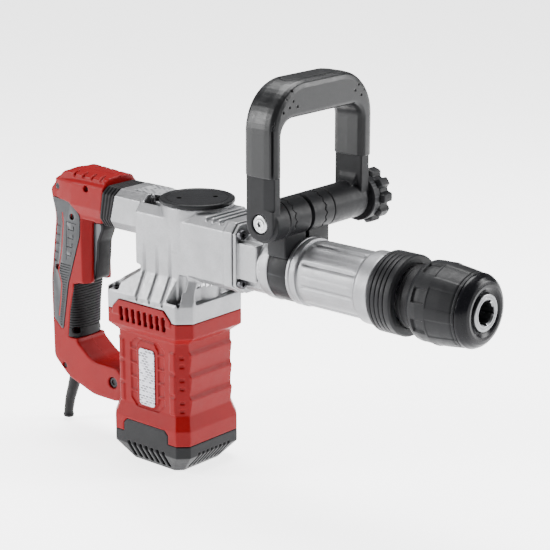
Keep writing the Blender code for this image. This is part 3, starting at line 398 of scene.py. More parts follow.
def rounded(corners, steps=4):
    """A closed outline with each (a, b, radius) corner rounded; a radius of zero stays a point."""
    outline = []
    for i, (a, b, radius) in enumerate(corners):
        here = Vector((a, b))
        if radius == 0:
            outline.append((a, b))
            continue
        before = Vector(corners[i - 1][:2]) - here
        after = Vector(corners[(i + 1) % len(corners)][:2]) - here
        half = before.angle(after) / 2
        if abs(half - math.pi / 2) < 0.01:
            outline.append((a, b))
            continue
        back = radius / math.tan(half)
        middle = here + (before.normalized() + after.normalized()).normalized() * radius / math.sin(half)
        start = here + before.normalized() * back - middle
        sweep = start.angle_signed(here + after.normalized() * back - middle)
        for k in range(steps + 1):
            turn = Matrix.Rotation(-sweep * k / steps, 2)
            outline.append(tuple(middle + turn @ start))
    return outline


def dense(profile, step=0.0008, closed=True):
    """Extra points along a profile's long runs, so that a form can vary along it."""
    made = []
    ends = profile[1:] + (profile[:1] if closed else [])
    for first, second in zip(profile, ends):
        gap = math.dist(first, second)
        count = max(1, round(gap / step)) if min(first[1], second[1]) > 0 else 1
        for k in range(count):
            made.append(tuple(a + (b - a) * k / count for a, b in zip(first, second)))
    if not closed:
        made.append(profile[-1])
    return made


def loft(name, sections, closed=False):
    """Skin over successive sections: capped at both ends, or closed from the last to the first."""
    shape = bmesh.new()
    loops = [[shape.verts.new(point) for point in section] for section in sections]
    skin_loops(shape, loops, closed)
    if not closed:
        shape.faces.new(loops[0])
        shape.faces.new(loops[-1])
    return from_bmesh(name, shape)


def plate(name, outline, plane, start, end):
    """A flat outline given thickness: outline pairs are XZ for plane Y, XY for plane Z, YZ for X."""
    places = {"X": lambda a, b, c: (c, a, b),
              "Y": lambda a, b, c: (a, c, b),
              "Z": lambda a, b, c: (a, b, c)}
    put = places[plane]
    return loft(name, [[put(a, b, start) for a, b in outline], [put(a, b, end) for a, b in outline]])


def side_span(side, inner, outer):
    """Two distances from the middle plane as low and high Y, on the side given as 1 or -1."""
    return sorted((side * inner, side * outer))


def side_plate(name, outline, side, inner, outer):
    """A plate in XZ on one side of the machine, between two distances from its middle plane."""
    return plate(name, outline, "Y", *side_span(side, inner, outer))


def rounded_box(a0, a1, b0, b1, radius, steps=4):
    """A rectangular outline with its four corners rounded."""
    return rounded([(a0, b0, radius), (a1, b0, radius), (a1, b1, radius), (a0, b1, radius)], steps)


def star(middle, reaches):
    """An outline of points at even angles about a middle, each at its own distance."""
    turn = 2 * math.pi / len(reaches)
    return [(middle[0] + reach * math.cos(k * turn), middle[1] + reach * math.sin(k * turn)) for k,
        reach in enumerate(reaches)]


def from_axis(profile):
    """A closed profile reordered to start just after its first point on the axis."""
    turn = next(i for i, point in enumerate(profile) if point[1] == 0)
    return profile[turn + 1:] + profile[:turn + 1]


def node_copy(node, name):
    """A welded copy of a CAD node's mesh, to carve details into."""
    shape = bmesh.new()
    shape.from_mesh(frame["nodes"][node].data)
    bmesh.ops.remove_doubles(shape, verts=shape.verts, dist=0.000002)
    bmesh.ops.dissolve_limit(shape, angle_limit=math.radians(0.2), verts=shape.verts, edges=shape.edges)
    return from_bmesh(name, shape)


def piece(item, body, paint, *nodes, slot=None):
    """Finish a piece: give it its look, parent it to its body and hide the CAD nodes it stands for."""
    HELPERS.remove(item)
    item.data.materials.clear()
    item.data.materials.append(PAINTS[paint])
    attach(item, body)
    if nodes:
        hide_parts(*nodes)


def clear_helpers():
    for item in HELPERS:
        bpy.data.objects.remove(item, do_unlink=True)
    HELPERS.clear()


SLOT_OF = {entry["node"]: entry["material_slot"] for entry in frame["record"]["subparts"]}


def dress_nodes():
    """Every CAD node that shows takes the detailed look of its slot."""
    for name, item in frame["nodes"].items():
        item.data.materials.clear()
        item.data.materials.append(PAINTS[SLOT_OF[name]])
        item.data.shade_smooth()
        item.data.set_sharp_from_angle(angle=math.radians(32))


# ------------------------ gear housing
def gear_housing():
    item = node_copy("gear_housing", "gear_housing_casting")
    boss = [(up(0.018), 0.0262), (up(0.018), 0.0311), (up(0.0374), 0.0311), (up(0.038), 0.0305),
        (up(0.038), 0.0262)]
    join(item, revolve("boss_skin", boss, "Z", (CRANK_X, 0, 0)))
    bulge = rod("crank_bulge", 0.019, (CRANK_X, 0, up(-0.046)), up(-0.0265), "Z")
    cutters = [rod("chamber_skin", 0.0266, (CRANK_X, 0, up(-0.0325)), up(0.05), "Z", 96)]
    for side in (1, -1):
        for i, x in enumerate((-0.006, 0.009, 0.0245)):
            line = [(side * 0.032, up(0.0105)), (side * 0.0301, up(0.01)), (side * 0.0282, up(-0.024)),
                (side * 0.0386, up(-0.044)), (side * 0.0386, up(-0.0486)), (side * 0.044, up(-0.0486)),
                (side * 0.044, up(-0.043)), (side * 0.032, up(-0.02))]
            cutters.append(plate(f"groove_{i}_{side}", line, "X", x - 0.0014, x + 0.0014))
            low, high = side_span(side, 0.0406, 0.045)
            cutters.append(box(f"notch_{i}_{side}", (x - 0.009, low, up(-0.0498)),
                (x - 0.0014, high, up(-0.0462))))
        front = [(0.029, side * 0.0398), (0.043, side * 0.0398), (0.043, side * 0.0335),
            (0.037, side * 0.03), (0.033, side * 0.0305)]
        rear = [(-0.029, side * 0.0398), (-0.047, side * 0.0385), (-0.047, side * 0.03),
            (-0.038, side * 0.0265), (-0.03, side * 0.03)]
        for name, outline in (("front", front), ("rear", rear)):
            cutters.append(plate(f"pocket_{name}_{side}", outline, "Z", up(-0.048), up(-0.022)))
        low, high = side_span(side, 0.012, 0.0222)
        pocket = box(f"top_pocket_{side}", (-0.0138, low, up(0.0285)), (0.006, high, up(0.04)), 0.001)
        cutters.append(pocket)
    for i, x in enumerate((0.065, 0.0725, 0.08)):
        outline = rounded_box(x - 0.0023, x + 0.0023, -0.0262, 0.0262, 0.002)
        cutters.append(plate(f"channel_{i}", outline, "Z", up(0.0306), up(0.04)))
    arch = rounded([(-0.0265, up(-0.0445), 0.002), (0.0265, up(-0.0445), 0.002),
        (0.0265, up(-0.0285), 0.007), (0.008, up(-0.0275), 0.006), (-0.008, up(-0.0275), 0.006),
        (-0.0265, up(-0.0285), 0.007)])
    recess = plate("front_recess", arch, "X", 0.044, 0.056)
    cut(item, recess, *cutters)
    join(item, bulge)
    cut(item, rod("bearing_bulge_seat", 0.0124, (CRANK_X, 0, up(-0.0415)), up(-0.02), "Z"))
    piece(moulded(item, 0.0008, 3, 0.5), "machine", "cast_aluminium", "gear_housing")


def neck_plate():
    """The plain rating plate on top of the neck, with generic printed bars."""
    outline = rounded_box(-0.035, -0.004, -0.0128, 0.0128, 0.002)
    item = plate("neck_plate", outline, "Z", up(0.04) + 0.0001, up(0.0403))
    piece(sharp(soften(item, 0.0001, 1)), "machine", "neck_label", slot="label")


def crank_cover():
    edge = [(0.0372, 0.0255, 0), (0.0383, 0.0255, 0), (0.0383, 0.0325, 0.0006), (0.0414, 0.0325, 0.0009),
        (0.0422, 0.0312, 0.0006), (0.0422, 0.0288, 0.0004), (0.0417, 0.0281, 0.0003),
        (0.0417, 0.0272, 0.0002), (0.0413, 0.027, 0.0002), (0.0413, 0.0264, 0.0002),
        (0.0417, 0.0262, 0.0002), (0.0417, 0, 0), (0.0372, 0, 0)]
    item = revolve("crank_cover_cap", from_axis(rounded(edge, 3)), "Z", (CRANK_X, 0, HAMMER_AXIS_Z), 128)
    spigot = [(0.0345, 0), (0.0345, 0.0243), (0.0352, 0.0243), (0.0352, 0.0236), (0.0368, 0.0236),
        (0.0368, 0.0256), (0.0375, 0.0256), (0.0375, 0)]
    join(item, revolve("cover_spigot", spigot, "Z", (CRANK_X, 0, HAMMER_AXIS_Z), 128))
    for i, side in enumerate((-1, 1)):
        place = (CRANK_X + 0.01 * side, 0.012 * side, up(0.0385))
        cut(item, rod(f"wrench_hole_{i}", 0.0024, place, up(0.05), "Z", 32))
    piece(sharp(item, 30), "machine", "charcoal_plastic", "crank_cover")


def socket_screw(name, place, direction, radius, length, node):
    """A socket-head screw: rounded head, hexagon socket and a shank."""
    head = rounded([(0, 0, 0), (SCREW_HEAD, 0, 0), (SCREW_HEAD, radius, 0.0006), (0, radius, 0.0003)], 3)
    loop = [point for point in head if point[1] > 0]
    item = revolve(name, [(SCREW_HEAD, 0)] + loop + [(0, 0)], "Z", steps=48)
    shank = [(0.0004, 0), (0.0004, SCREW_SHANK), (-length, SCREW_SHANK), (-length, 0)]
    join(item, revolve(name + "_shank", shank, "Z", steps=32))
    hexagon = star((0, 0), [0.55 * radius] * 6)
    cut(item, plate(name + "_hex", hexagon, "Z", SCREW_HEAD * 0.4, SCREW_HEAD * 2))
    sharp(item, 30)
    item.data.transform(Matrix.Translation(Vector(place)) @ axis_turn(direction))
    piece(item, "machine", "dark_steel", node, slot="steel")


def machine_screws():
    for i, (y, height) in enumerate(BARREL_BOLTS):
        socket_screw(f"barrel_bolt_{i + 1}", (0.1003, y, up(height)), "X", 0.0042, 0.0183,
            f"barrel_screw_{i + 1}")
    for i, (x, y) in enumerate([(0.0395, 0.031), (0.0395, -0.031), (-0.0395, 0.031), (-0.0395, -0.031)]):
        socket_screw(f"housing_bolt_{i + 1}", (x, y, up(-0.0477)), "Z", 0.0044, 0.0203,
            f"housing_screw_{i + 1}")


# ------------------------ motor
BANDS = [(-0.0886, -0.1085), (-0.1091, -0.129), (-0.1297, -0.148)]


def motor_housing():
    item = node_copy("motor_housing", "motor_housing_moulding")
    added, cutters = [], []
    for side in (1, -1):
        for i, (top, bottom) in enumerate(BANDS):
            wedge = [(side * 0.04, up(top) + 0.001), (side * 0.0419, up(top) + 0.0006),
                (side * 0.0445, up(top) - 0.0032), (side * 0.0421, up(bottom)), (side * 0.04, up(bottom))]
            added.append(plate(f"band_{i}_{side}", wedge, "Y", -0.0262, 0.0262))
            for end, near, far in ((1, 0.0272, 0.0338), (-1, -0.0338, -0.0285)):
                low, high = side_span(side, 0.033, 0.0362)
                added.append(box(f"pad_{i}_{side}_{end}", (near, low, up(bottom) + 0.0016),
                    (far, high, up(top) - 0.001), 0.0008))
            for end in (1, -1):
                for k in range(2):
                    height = up(top) - 0.0052 - 0.0078 * k
                    spot = box(f"spot_{i}_{side}_{end}_{k}", (-0.0022, -0.001, -0.002),
                        (0.0022, 0.003, 0.002))
                    place = Matrix.Translation((end * 0.0378, side * 0.0308, height))
                    turn = Matrix.Rotation(math.atan2(side, end) - math.pi / 2, 4, "Z")
                    spot.data.transform(place @ turn)
                    cutters.append(spot)
        low, high = side_span(side, 0.0338, 0.04)
        panel = [(-0.0205, -0.0905), (-0.0125, -0.0845), (0.0135, -0.0845), (0.0205, -0.0905),
            (0.0205, -0.1415), (0.013, -0.1485), (-0.013, -0.1485), (-0.0205, -0.1415)]
        inner = [(x * 0.62, -0.1165 + (h + 0.1165) * 0.93) for x, h in panel]
        ring = plate(f"panel_{side}", risen(panel), "Y", low, high)
        cut(ring, plate(f"panel_inner_{side}", risen(inner), "Y", low - 0.002, high + 0.002))
        for k in range(4):
            height = up(-0.096 - 0.0128 * k)
            cut(ring, box(f"teeth_{side}_{k}", (-0.03, low - 0.001, height - 0.0007),
                (0.03, high + 0.001, height + 0.0007)))
        cutters.append(ring)
    cut(item, *cutters)
    join(item, *added)
    piece(moulded(item, 0.0007, 2, 0.4), "machine", "red_plastic", "motor_housing")


FOOT_Z = 0.00002                         # the moulding stays this far above the foot's plane


def motor_end_cap():
    item = node_copy("motor_end_cap", "motor_end_cap_moulding")
    moulded(item, 0.0006, 2, 0.4)
    for vertex in item.data.vertices:
        vertex.co.z = max(vertex.co.z, FOOT_Z)
    piece(item, "machine", "charcoal_plastic", "motor_end_cap")


def label_plate():
    outline = rounded_box(-0.0092, 0.0092, up(-0.145), up(-0.093), 0.003, 6)
    item = plate("rating_plate", outline, "Y", -0.036, -0.0353)
    piece(sharp(soften(item, 0.00025, 2)), "machine", "side_label", "label_plate", slot="label")


# ------------------------ barrel
def barrel():
    def flutes(along, radius, angle):
        if radius < 0.025 or not 0.1655 < along < 0.2215:
            return radius
        ends = min(1.0, (along - 0.1655) / 0.004, (0.2215 - along) / 0.004)
        turn = (math.degrees(angle) + 20) % 40 - 20
        groove = max(0.0, 1 - (abs(turn) / 3.6) ** 4)
        crown = 0.0004 * (1 - (abs(turn) - 10) ** 2 / 100)
        return radius - ends * (0.0011 * groove) + ends * crown * (1 - groove)

    corners = [(0.1205, 0.027, 0), (0.124, 0.027, 0.0004), (0.124, 0.0285, 0.0006),
        (0.1325, 0.0285, 0.0006), (0.1325, 0.0255, 0.0002), (0.1525, 0.0255, 0.0002),
        (0.1525, 0.0285, 0.0006), (0.155, 0.0285, 0.0004), (0.1555, 0.0277, 0.0003),
        (0.1565, 0.0277, 0.0003), (0.157, 0.0285, 0.0004), (0.162, 0.0285, 0.0008),
        (0.1622, 0.0264, 0.0004), (0.165, 0.0264, 0.0004), (0.1655, 0.0273, 0.0003),
        (0.2215, 0.0273, 0.002), (0.224, 0.03, 0.002), (0.236, 0.03, 0.0012), (0.2375, 0.0285, 0.0008),
        (0.2375, 0.0222, 0.0004), (0.262, 0.0222, 0.0004), (0.262, 0.0175, 0.0002), (0.205, 0.0175, 0),
        (0.205, 0.0153, 0), (0.17, 0.0153, 0), (0.17, 0.0183, 0), (0.1205, 0.0183, 0)]
    tube = revolve("barrel_tube", dense(rounded(corners, 3), 0.0016), "X", AXIS, 216, flutes)
    piece(sharp(tube, 50), "machine", "cast_aluminium", "barrel_housing")
    head = [(0.03, 0.027), (0.0235, 0.0345), (-0.0235, 0.0345), (-0.03, 0.027), (-0.03, -0.0185),
        (-0.016, -0.027), (0.016, -0.027), (0.03, -0.0185)]
    base = loft("barrel_base", [[(x, y * 0.985, up(h * 0.985)) for y, h in head] for x in (0.0966, 0.1)])
    join(base, box("base_block", (0.097, -0.0272, up(-0.012)), (0.1204, 0.0272, up(0.02)), 0.0012, 2),
        rod("base_round", 0.027, (0.0968, 0, up(0)), 0.1202, "X", 96))
    cutters = [rod("base_bore", 0.0183, (0.09, 0, up(0)), 0.13, "X", 64)]
    for i, (y, height) in enumerate(BARREL_BOLTS):
        cutters.append(rod(f"bolt_way_{i}", 0.0027, (0.09, y, up(height)), 0.11, "X", 24))
        cutters.append(rod(f"bolt_pocket_{i}", 0.0052, (0.0998, y, up(height)), 0.126, "X", 48))
    cut(base, *cutters)
    piece(moulded(base, 0.0006, 2, 0.5), "machine", "cast_aluminium")


# ------------------------ tool holder, chuck and collar
def solid_ring(name, corners, paint, body, *nodes, steps=128, form=None, fine=None, slot=None, arcs=3):
    outline = rounded(corners, arcs)
    if fine:
        outline = dense(outline, fine)
    item = revolve(name, outline, "X", AXIS, steps, form)
    piece(sharp(item, 40), body, paint, *nodes, slot=slot)


def tool_holder():
    def splines(along, radius, angle):
        if radius > 0.01 or along < 0.25:
            return radius
        turn = math.degrees(angle) % 360
        wide = any(abs((turn - centre + 180) % 360 - 180) < 17 for centre in (90, 270))
        narrow = any(abs((turn - centre + 180) % 360 - 180) < 9 for centre in (0, 150, 210))
        return radius + (0.002 if wide or narrow else 0.0)

    corners = [(0.206, 0.0095, 0), (0.206, 0.0172, 0.0004), (0.295, 0.0172, 0.0003), (0.2955, 0.0165, 0),
        (0.318, 0.0165, 0.0003), (0.318, 0.015, 0), (0.3299, 0.015, 0.0009), (0.3299, 0.0128, 0.0003),
        (0.3294, 0.0124, 0.0003), (0.3299, 0.012, 0.0003), (0.3299, 0.0107, 0.0006),
        (0.3285, 0.0093, 0.0004), (0.248, 0.0093, 0), (0.247, 0.0095, 0)]
    solid_ring("tool_holder_tube", corners, "tool_steel", "tool_holder", "tool_holder", steps=180,
        form=splines, fine=0.004, slot="steel")
    corners = [(0.2627, 0.0177, 0.0003), (0.2627, 0.0258, 0.0008), (0.2655, 0.0258, 0.0003),
        (0.266, 0.0252, 0.0002), (0.267, 0.0252, 0.0002), (0.2675, 0.0258, 0.0003), (0.283, 0.0258, 0.0004),
        (0.283, 0.0177, 0.0003)]
    solid_ring("neck_sleeve_ring", corners, "black_rubber", "tool_holder", "neck_sleeve",
        slot="charcoal_plastic")
    corners = [(0.3206, 0.0188, 0), (0.3206, 0.03, 0.0005), (0.3228, 0.0296, 0.003),
        (0.3262, 0.0277, 0.004), (0.3287, 0.0248, 0.003), (0.3295, 0.0218, 0.0016),
        (0.3291, 0.0195, 0.0008), (0.3278, 0.0172, 0.001), (0.3272, 0.0153, 0.0002), (0.3215, 0.0153, 0),
        (0.3215, 0.0188, 0)]
    solid_ring("nose_cap_ring", corners, "gloss_black", "tool_holder", "nose_cap", arcs=5)


def chuck_sleeve():
    def recesses(along, radius, angle):
        if radius < 0.029:
            return radius
        turn = (math.degrees(angle) / 45 % 1 - 0.5) * 45
        across = min(1.0, max(0.0, (10.6 - abs(turn)) / 0.8))
        ahead = min(1.0, max(0.0, (along - 0.2812) / 0.0008))
        behind = min(1.0, max(0.0, (0.2932 - along) / 0.0008))
        step = 0.00045 if along > 0.295 and abs(turn) < 14.5 else 0.0
        return radius - 0.0019 * across * ahead * behind - step

    corners = [(0.2755, 0.0266, 0.0004), (0.2755, 0.03, 0.001), (0.279, 0.0322, 0.003),
        (0.286, 0.033, 0.006), (0.2945, 0.033, 0.004), (0.306, 0.0319, 0.02), (0.3168, 0.0305, 0.002),
        (0.3172, 0.0298, 0.0002), (0.3178, 0.0298, 0.0002), (0.3182, 0.0303, 0.0003), (0.32, 0.03, 0.0006),
        (0.32, 0.018, 0.0003), (0.292, 0.018, 0), (0.292, 0.0266, 0)]
    solid_ring("chuck_sleeve_grip", corners, "charcoal_plastic", "chuck_sleeve", "chuck_sleeve", steps=288,
        form=recesses, fine=0.0005)


def adjust_collar():
    corners = [(0.2382, 0.0226, 0.0003), (0.2382, 0.0318, 0.001), (0.2402, 0.033, 0.001)]
    for start in (0.2425, 0.2466, 0.2507, 0.2548):
        corners += [(start, 0.033, 0.0002), (start + 0.0003, 0.0321, 0.0002),
            (start + 0.0008, 0.0321, 0.0002), (start + 0.0011, 0.033, 0.0002)]
    corners += [(0.2606, 0.033, 0.0008), (0.2622, 0.0317, 0.0006), (0.2622, 0.0262, 0.0003),
        (0.2585, 0.0262, 0), (0.2585, 0.0226, 0.0002)]
    solid_ring("adjust_collar_ring", corners, "charcoal_plastic", "adjust_collar", "adjust_collar",
        steps=192)


# ------------------------ rear handle
HANDLE_PIVOT = (-0.062, -0.143)
SHELL_HALF = 0.018
SHELL_WALL = 0.003
SEAM = 0.00015
HOLLOW_FRONT_X = -0.101                  # the hollow stops short here, beside the trigger
SHELL_SCREWS = (                         # x, height, and depth of the pocket's floor
    (-0.087, 0.034, 0.017), (-0.127, 0.03, 0.017), (-0.13, -0.046, 0.0152),
    (-0.109, 0.004, 0.0152), (-0.1255, -0.1405, 0.0152),
)


def head_front(height):
    """X of the rear handle's slanting front face at a height from the hammer axis."""
    return -0.0713 + 0.165 * height


def neck_back(height):
    return -0.058 + 0.263 * height


HANDLE_CORNERS = [
    (head_front(0.044), 0.044, 0.003), (-0.118, 0.0468, 0.012), (-0.137, 0.0265, 0.006),
    (-0.131, 0.002, 0.03), (-0.14, -0.06, 0.08), (-0.1395, -0.134, 0.01),
    (-0.121, -0.15, 0.02), (-0.088, -0.1605, 0.03), (-0.048, -0.1605, 0.013),
    (-0.048, -0.1285, 0.013), (-0.088, -0.1285, 0.02), (-0.1075, -0.114, 0.006),
    (-0.1075, -0.058, 0.003), (-0.0915, -0.056, 0.002), (-0.09, 0.002, 0.003),
    (head_front(0.004), 0.004, 0.002),
]
OVERLAY_CORNERS = [(-0.1345, 0.02, 0.002), (-0.11, 0.018, 0.006), (-0.0985, 0.007, 0.008),
    (-0.0995, -0.012, 0.02), (-0.1165, -0.06, 0.02), (-0.1253, -0.1065, 0.002), (-0.1372, -0.096, 0.003),
    (-0.1372, -0.06, 0.05), (-0.128, 0.001, 0.03)]
FRONT_GRIP = [(-0.107, -0.0588), (-0.1085, -0.0588), (-0.115, -0.085), (-0.1185, -0.1112),
    (-0.107, -0.1112)]
HEAD_HALF = [(0.0466, 0, -0.118), (0.0458, 0.012, -0.118), (0.0451, 0.0142, -0.119),
    (0.038, 0.0207, -0.129), (0.0366, 0.0213, -0.1305), (0.0172, 0.0213, -0.1335), (0.016, 0.0209, -0.1335),
    (0.0075, 0.0178, -0.131), (0.007, 0.015, -0.131), (0.007, 0, -0.131)]


def raised(corners, steps=4):
    """A rounded outline of (x, height, radius) corners, in world heights."""
    return risen(rounded(corners, steps))


def inset(outline, distance):
    """The outline moved inwards by a distance, or outwards by a negative one."""
    area = sum(a[0] * b[1] - b[0] * a[1] for a, b in zip(outline, outline[1:] + outline[:1]))
    inward = distance if area > 0 else -distance
    moved = []
    for i, point in enumerate(outline):
        here = Vector(point)
        into = (here - Vector(outline[i - 1])).normalized()
        away = (Vector(outline[(i + 1) % len(outline)]) - here).normalized()
        bisector = Vector((-into.y, into.x)) + Vector((-away.y, away.x))
        scale = 1 + Vector((-into.y, into.x)).dot(Vector((-away.y, away.x)))
        moved.append(tuple(here + bisector * inward / scale))
    return moved


def handle_body():
    """The whole handle moulding, before it is split into its two shells."""
    shell = plate("handle_whole", raised(HANDLE_CORNERS), "Y", -SHELL_HALF, SHELL_HALF)
    soften(shell, 0.0042, 4, 50)
    sections = []
    half = HEAD_HALF + [(height, -y, back) for height, y, back in reversed(HEAD_HALF[1:-1])]
    for part in (0.0, 0.6, 0.85, 0.96, 1.0):
        squeeze = 1 - 0.2 * max(0.0, part - 0.5) ** 2 / 0.25
        section = []
        for height, y, back in half:
            front = head_front(height)
            section.append((front + (back - front) * part, y * squeeze, up(height)))
        sections.append(section)
    join(shell, loft("handle_head", sections))
    core = []
    for x, height, _ in HANDLE_CORNERS:
        core.append((min(x, HOLLOW_FRONT_X) if -0.057 < height < 0.003 else x, height))
    cutters = [plate("handle_hollow", risen(inset(core, SHELL_WALL)), "Y", -0.015, 0.015),
        box("lug_way", (-0.078, -0.0103, up(-0.156)), (-0.04, 0.0103, up(-0.1315))),
        box("trigger_way", (-0.108, -0.0088, up(-0.0575)), (-0.08, 0.0088, up(0.001))),
        rod("bolt_way", 0.0044, (HANDLE_PIVOT[0], -0.03, up(HANDLE_PIVOT[1])), 0.03, "Y"),
        rod("boot_way", 0.0074, (-0.1295, 0, up(-0.17)), up(-0.138), "Z"),
        box("front_bed", (-0.11, -0.03, up(-0.1115)), (-0.095, 0.03, up(-0.0585)))]
    for side in (1, -1):
        floor = SHELL_HALF - 0.0015
        cutters.append(side_plate(f"overlay_bed_{side}", raised(OVERLAY_CORNERS), side, floor, 0.03))
        taper = [(-0.0985, side * 0.0182), (-0.0885, side * 0.0094), (-0.08, side * 0.0094),
            (-0.08, side * 0.025), (-0.0985, side * 0.025)]
        cutters.append(plate(f"trigger_taper_{side}", taper, "Z", up(-0.06), up(0.0045)))
        bed = risen(inset(FRONT_GRIP, -0.0003))
        cutters.append(side_plate(f"grip_bed_{side}", bed, side, 0.0157, 0.03))
        corner = [(-0.116, side * 0.0158), (-0.112, side * 0.0125), (-0.1095, side * 0.008),
            (-0.1, side * 0.008), (-0.1, side * 0.025), (-0.116, side * 0.025)]
        bevel = plate(f"grip_corner_{side}", corner, "Z", up(-0.1115), up(-0.0585))
        bevel_bed = side_plate(f"grip_corner_bed_{side}", bed, side, 0.005, 0.03)
        cutters.append(combine(bevel, [bevel_bed], "INTERSECT"))
        pivot = (HANDLE_PIVOT[0], side * 0.015, up(HANDLE_PIVOT[1]))
        cutters.append(rod(f"head_way_{side}", 0.0054, pivot, side * 0.03, "Y"))
        for i, (x, height, reach) in enumerate(SHELL_SCREWS):
            start = (x, side * reach, up(height))
            cutters.append(rod(f"shell_screw_way_{i}_{side}", 0.003, start, side * 0.03, "Y", 32))
        for i in range(4):
            cutters.append(crown_notch(i, side))
    return cut(shell, *cutters)


def crown_notch(i, side):
    """One of the slanting grip notches on the shoulder of the handle's head."""
    notch = box(f"crown_notch_{i}_{side}", (-0.0011, -0.0085, -0.0011), (0.0011, 0.0085, 0.004), 0.0006)
    place = Matrix.Translation((-0.104 + 0.011 * i, side * 0.0165, up(0.0432)))
    lean = Matrix.Rotation(math.radians(-18 * side), 4, "Z")
    tip = Matrix.Rotation(math.radians(-17 * side), 4, "X")
    notch.data.transform(place @ lean @ tip)
    return notch


def handle_shells():
    whole = moulded(handle_body(), 0.0007, 3, 1.0)
    for side, name in SIDES:
        half = new_item(f"handle_moulding_{name}", whole.data.copy())
        low, high = side_span(side, SEAM, 0.06)
        keep = box(f"keep_{name}", (-0.2, low, up(-0.2)), (0.0, high, up(0.1)))
        combine(half, [keep], "INTERSECT")
        piece(sharp(thinned(half, 0.35), 60), "rear_handle", "red_plastic", f"handle_shell_{name}")


RED_LINE = [(-0.1213, 0.0066), (-0.1203, -0.0026), (-0.1237, -0.0282), (-0.1268, -0.041), (-0.129, -0.05),
    (-0.1252, -0.0612), (-0.127, -0.0765), (-0.13, -0.093)]


def red_line(half):
    """Outline of a strip along the red line, given half its width."""
    return risen([(x - half, h) for x, h in RED_LINE] + [(x + half, h) for x, h in reversed(RED_LINE)])


def overlay(side, name):
    """Soft side overlay: a slit with a red line in it, cranked marks and fine cross ribs."""
    outline = inset(raised(OVERLAY_CORNERS, 8), 0.0003)
    item = side_plate(f"overlay_{name}", outline, side, SHELL_HALF - 0.0012, SHELL_HALF + 0.0004)
    soften(item, 0.0003, 2, 50)
    cutters = []
    near, far = side_span(side, SHELL_HALF - 0.0003, SHELL_HALF + 0.003)
    for i in range(25):
        height = -0.042 - 0.00245 * i
        left = line_x(RED_LINE, height) + 0.0017
        right = line_x([corner[:2] for corner in OVERLAY_CORNERS[2:6]], height) - 0.0016
        cutters.append(box(f"overlay_rib_{name}_{i}", (left, near, up(height) - 0.0005),
            (right, far, up(height) + 0.0005)))
    for i, (x, height) in enumerate([(-0.1067, -0.0085), (-0.1077, -0.0165), (-0.1094, -0.0248),
            (-0.1112, -0.033)]):
        hook = [(x - 0.0075, up(height)), (x, up(height) - 0.0004), (x, up(height) + 0.0042),
            (x - 0.0009, up(height) + 0.0042), (x - 0.0009, up(height) + 0.0006),
            (x - 0.0075, up(height) + 0.0008)]
        cutters.append(plate(f"overlay_hook_{name}_{i}", hook, "Y", near, far))
    frame_line = [(-0.1165, up(-0.001)), (-0.1035, up(-0.0015)), (-0.1035, up(-0.0021)),
        (-0.1159, up(-0.0017)), (-0.1178, up(-0.0375)), (-0.1185, up(-0.0375))]
    cutters.append(plate(f"overlay_frame_{name}", frame_line, "Y", near, far))
    slit = (SHELL_HALF - 0.002, SHELL_HALF + 0.003)
    cutters.append(side_plate(f"overlay_slit_{name}", red_line(0.0008), side, *slit))
    for i in range(5):
        height = -0.006 - 0.0085 * i
        cutters.append(box(f"overlay_tick_{name}_{i}", (-0.1335, near, up(height) - 0.0012),
            (line_x(RED_LINE, height) - 0.0035, far, up(height) + 0.0012)))
    for i, (x, height) in enumerate([(-0.109, 0.0043), (-0.1297, -0.0462)]):
        start = (x, side * 0.016, up(height))
        cutters.append(rod(f"overlay_hole_{name}_{i}", 0.0031, start, side * 0.03, "Y", 48))
    cut(item, *cutters)
    piece(sharp(item), "rear_handle", "grey_rubber", f"grip_overlay_{name}")
    rib = (SHELL_HALF - 0.001, SHELL_HALF + 0.0003)
    line = side_plate(f"overlay_rib_line_{name}", red_line(0.0006), side, *rib)
    piece(sharp(line), "rear_handle", "red_plastic")


def line_x(points, height):
    """X of a falling line of (x, height) points at a height."""
    for (x0, h0), (x1, h1) in zip(points, points[1:]):
        if h1 <= height <= h0:
            return x0 + (x1 - x0) * (h0 - height) / (h0 - h1)
    return points[-1][0]


def handle_grips():
    for side, name in SIDES:
        overlay(side, name)
    sections = []
    count = 400
    for i in range(count + 1):
        height = -0.0588 - 0.0524 * i / count
        wave = 0.5 + 0.5 * math.cos((height + 0.0612) * 2 * math.pi / 0.00253)
        groove = 0.0007 * wave ** 4 if -0.1035 < height < -0.06 else 0.0
        ends = max(0.0, 1 - min(i, count - i) / 12) ** 2 * 0.0012
        sections.append(grip_section(height, groove + ends))
    wrap = loft("grip_wrap", sections)
    core = rounded([(-0.13, -0.0158, 0), (-0.115, -0.0158, 0.006), (-0.1092, -0.01, 0.004),
        (-0.1092, 0.01, 0.004), (-0.115, 0.0158, 0.006), (-0.13, 0.0158, 0)], 6)
    holes = [rod(f"grip_hole_{side}", 0.0034, (-0.1112, side * 0.011, up(-0.104)), side * 0.03, "Y", 48)
             for side in (1, -1)]
    cut(wrap, plate("grip_core", core, "Z", up(-0.13), up(-0.04)), *holes)
    piece(sharp(wrap, 40), "rear_handle", "black_rubber", "front_grip")


def grip_section(height, sink):
    """Section of the front grip, with a blunt rounded front ahead of its slanting back edge."""
    back = line_x(FRONT_GRIP[1:4], height)
    section = []
    for k in range(41):
        angle = math.pi / 2 * (1 - k / 20)
        wide = math.copysign(abs(math.sin(angle)) ** 0.8, angle) * (0.0182 - sink)
        section.append((back + abs(math.cos(angle)) ** 0.8 * (-0.107 - back - sink), wide, up(height)))
    return section


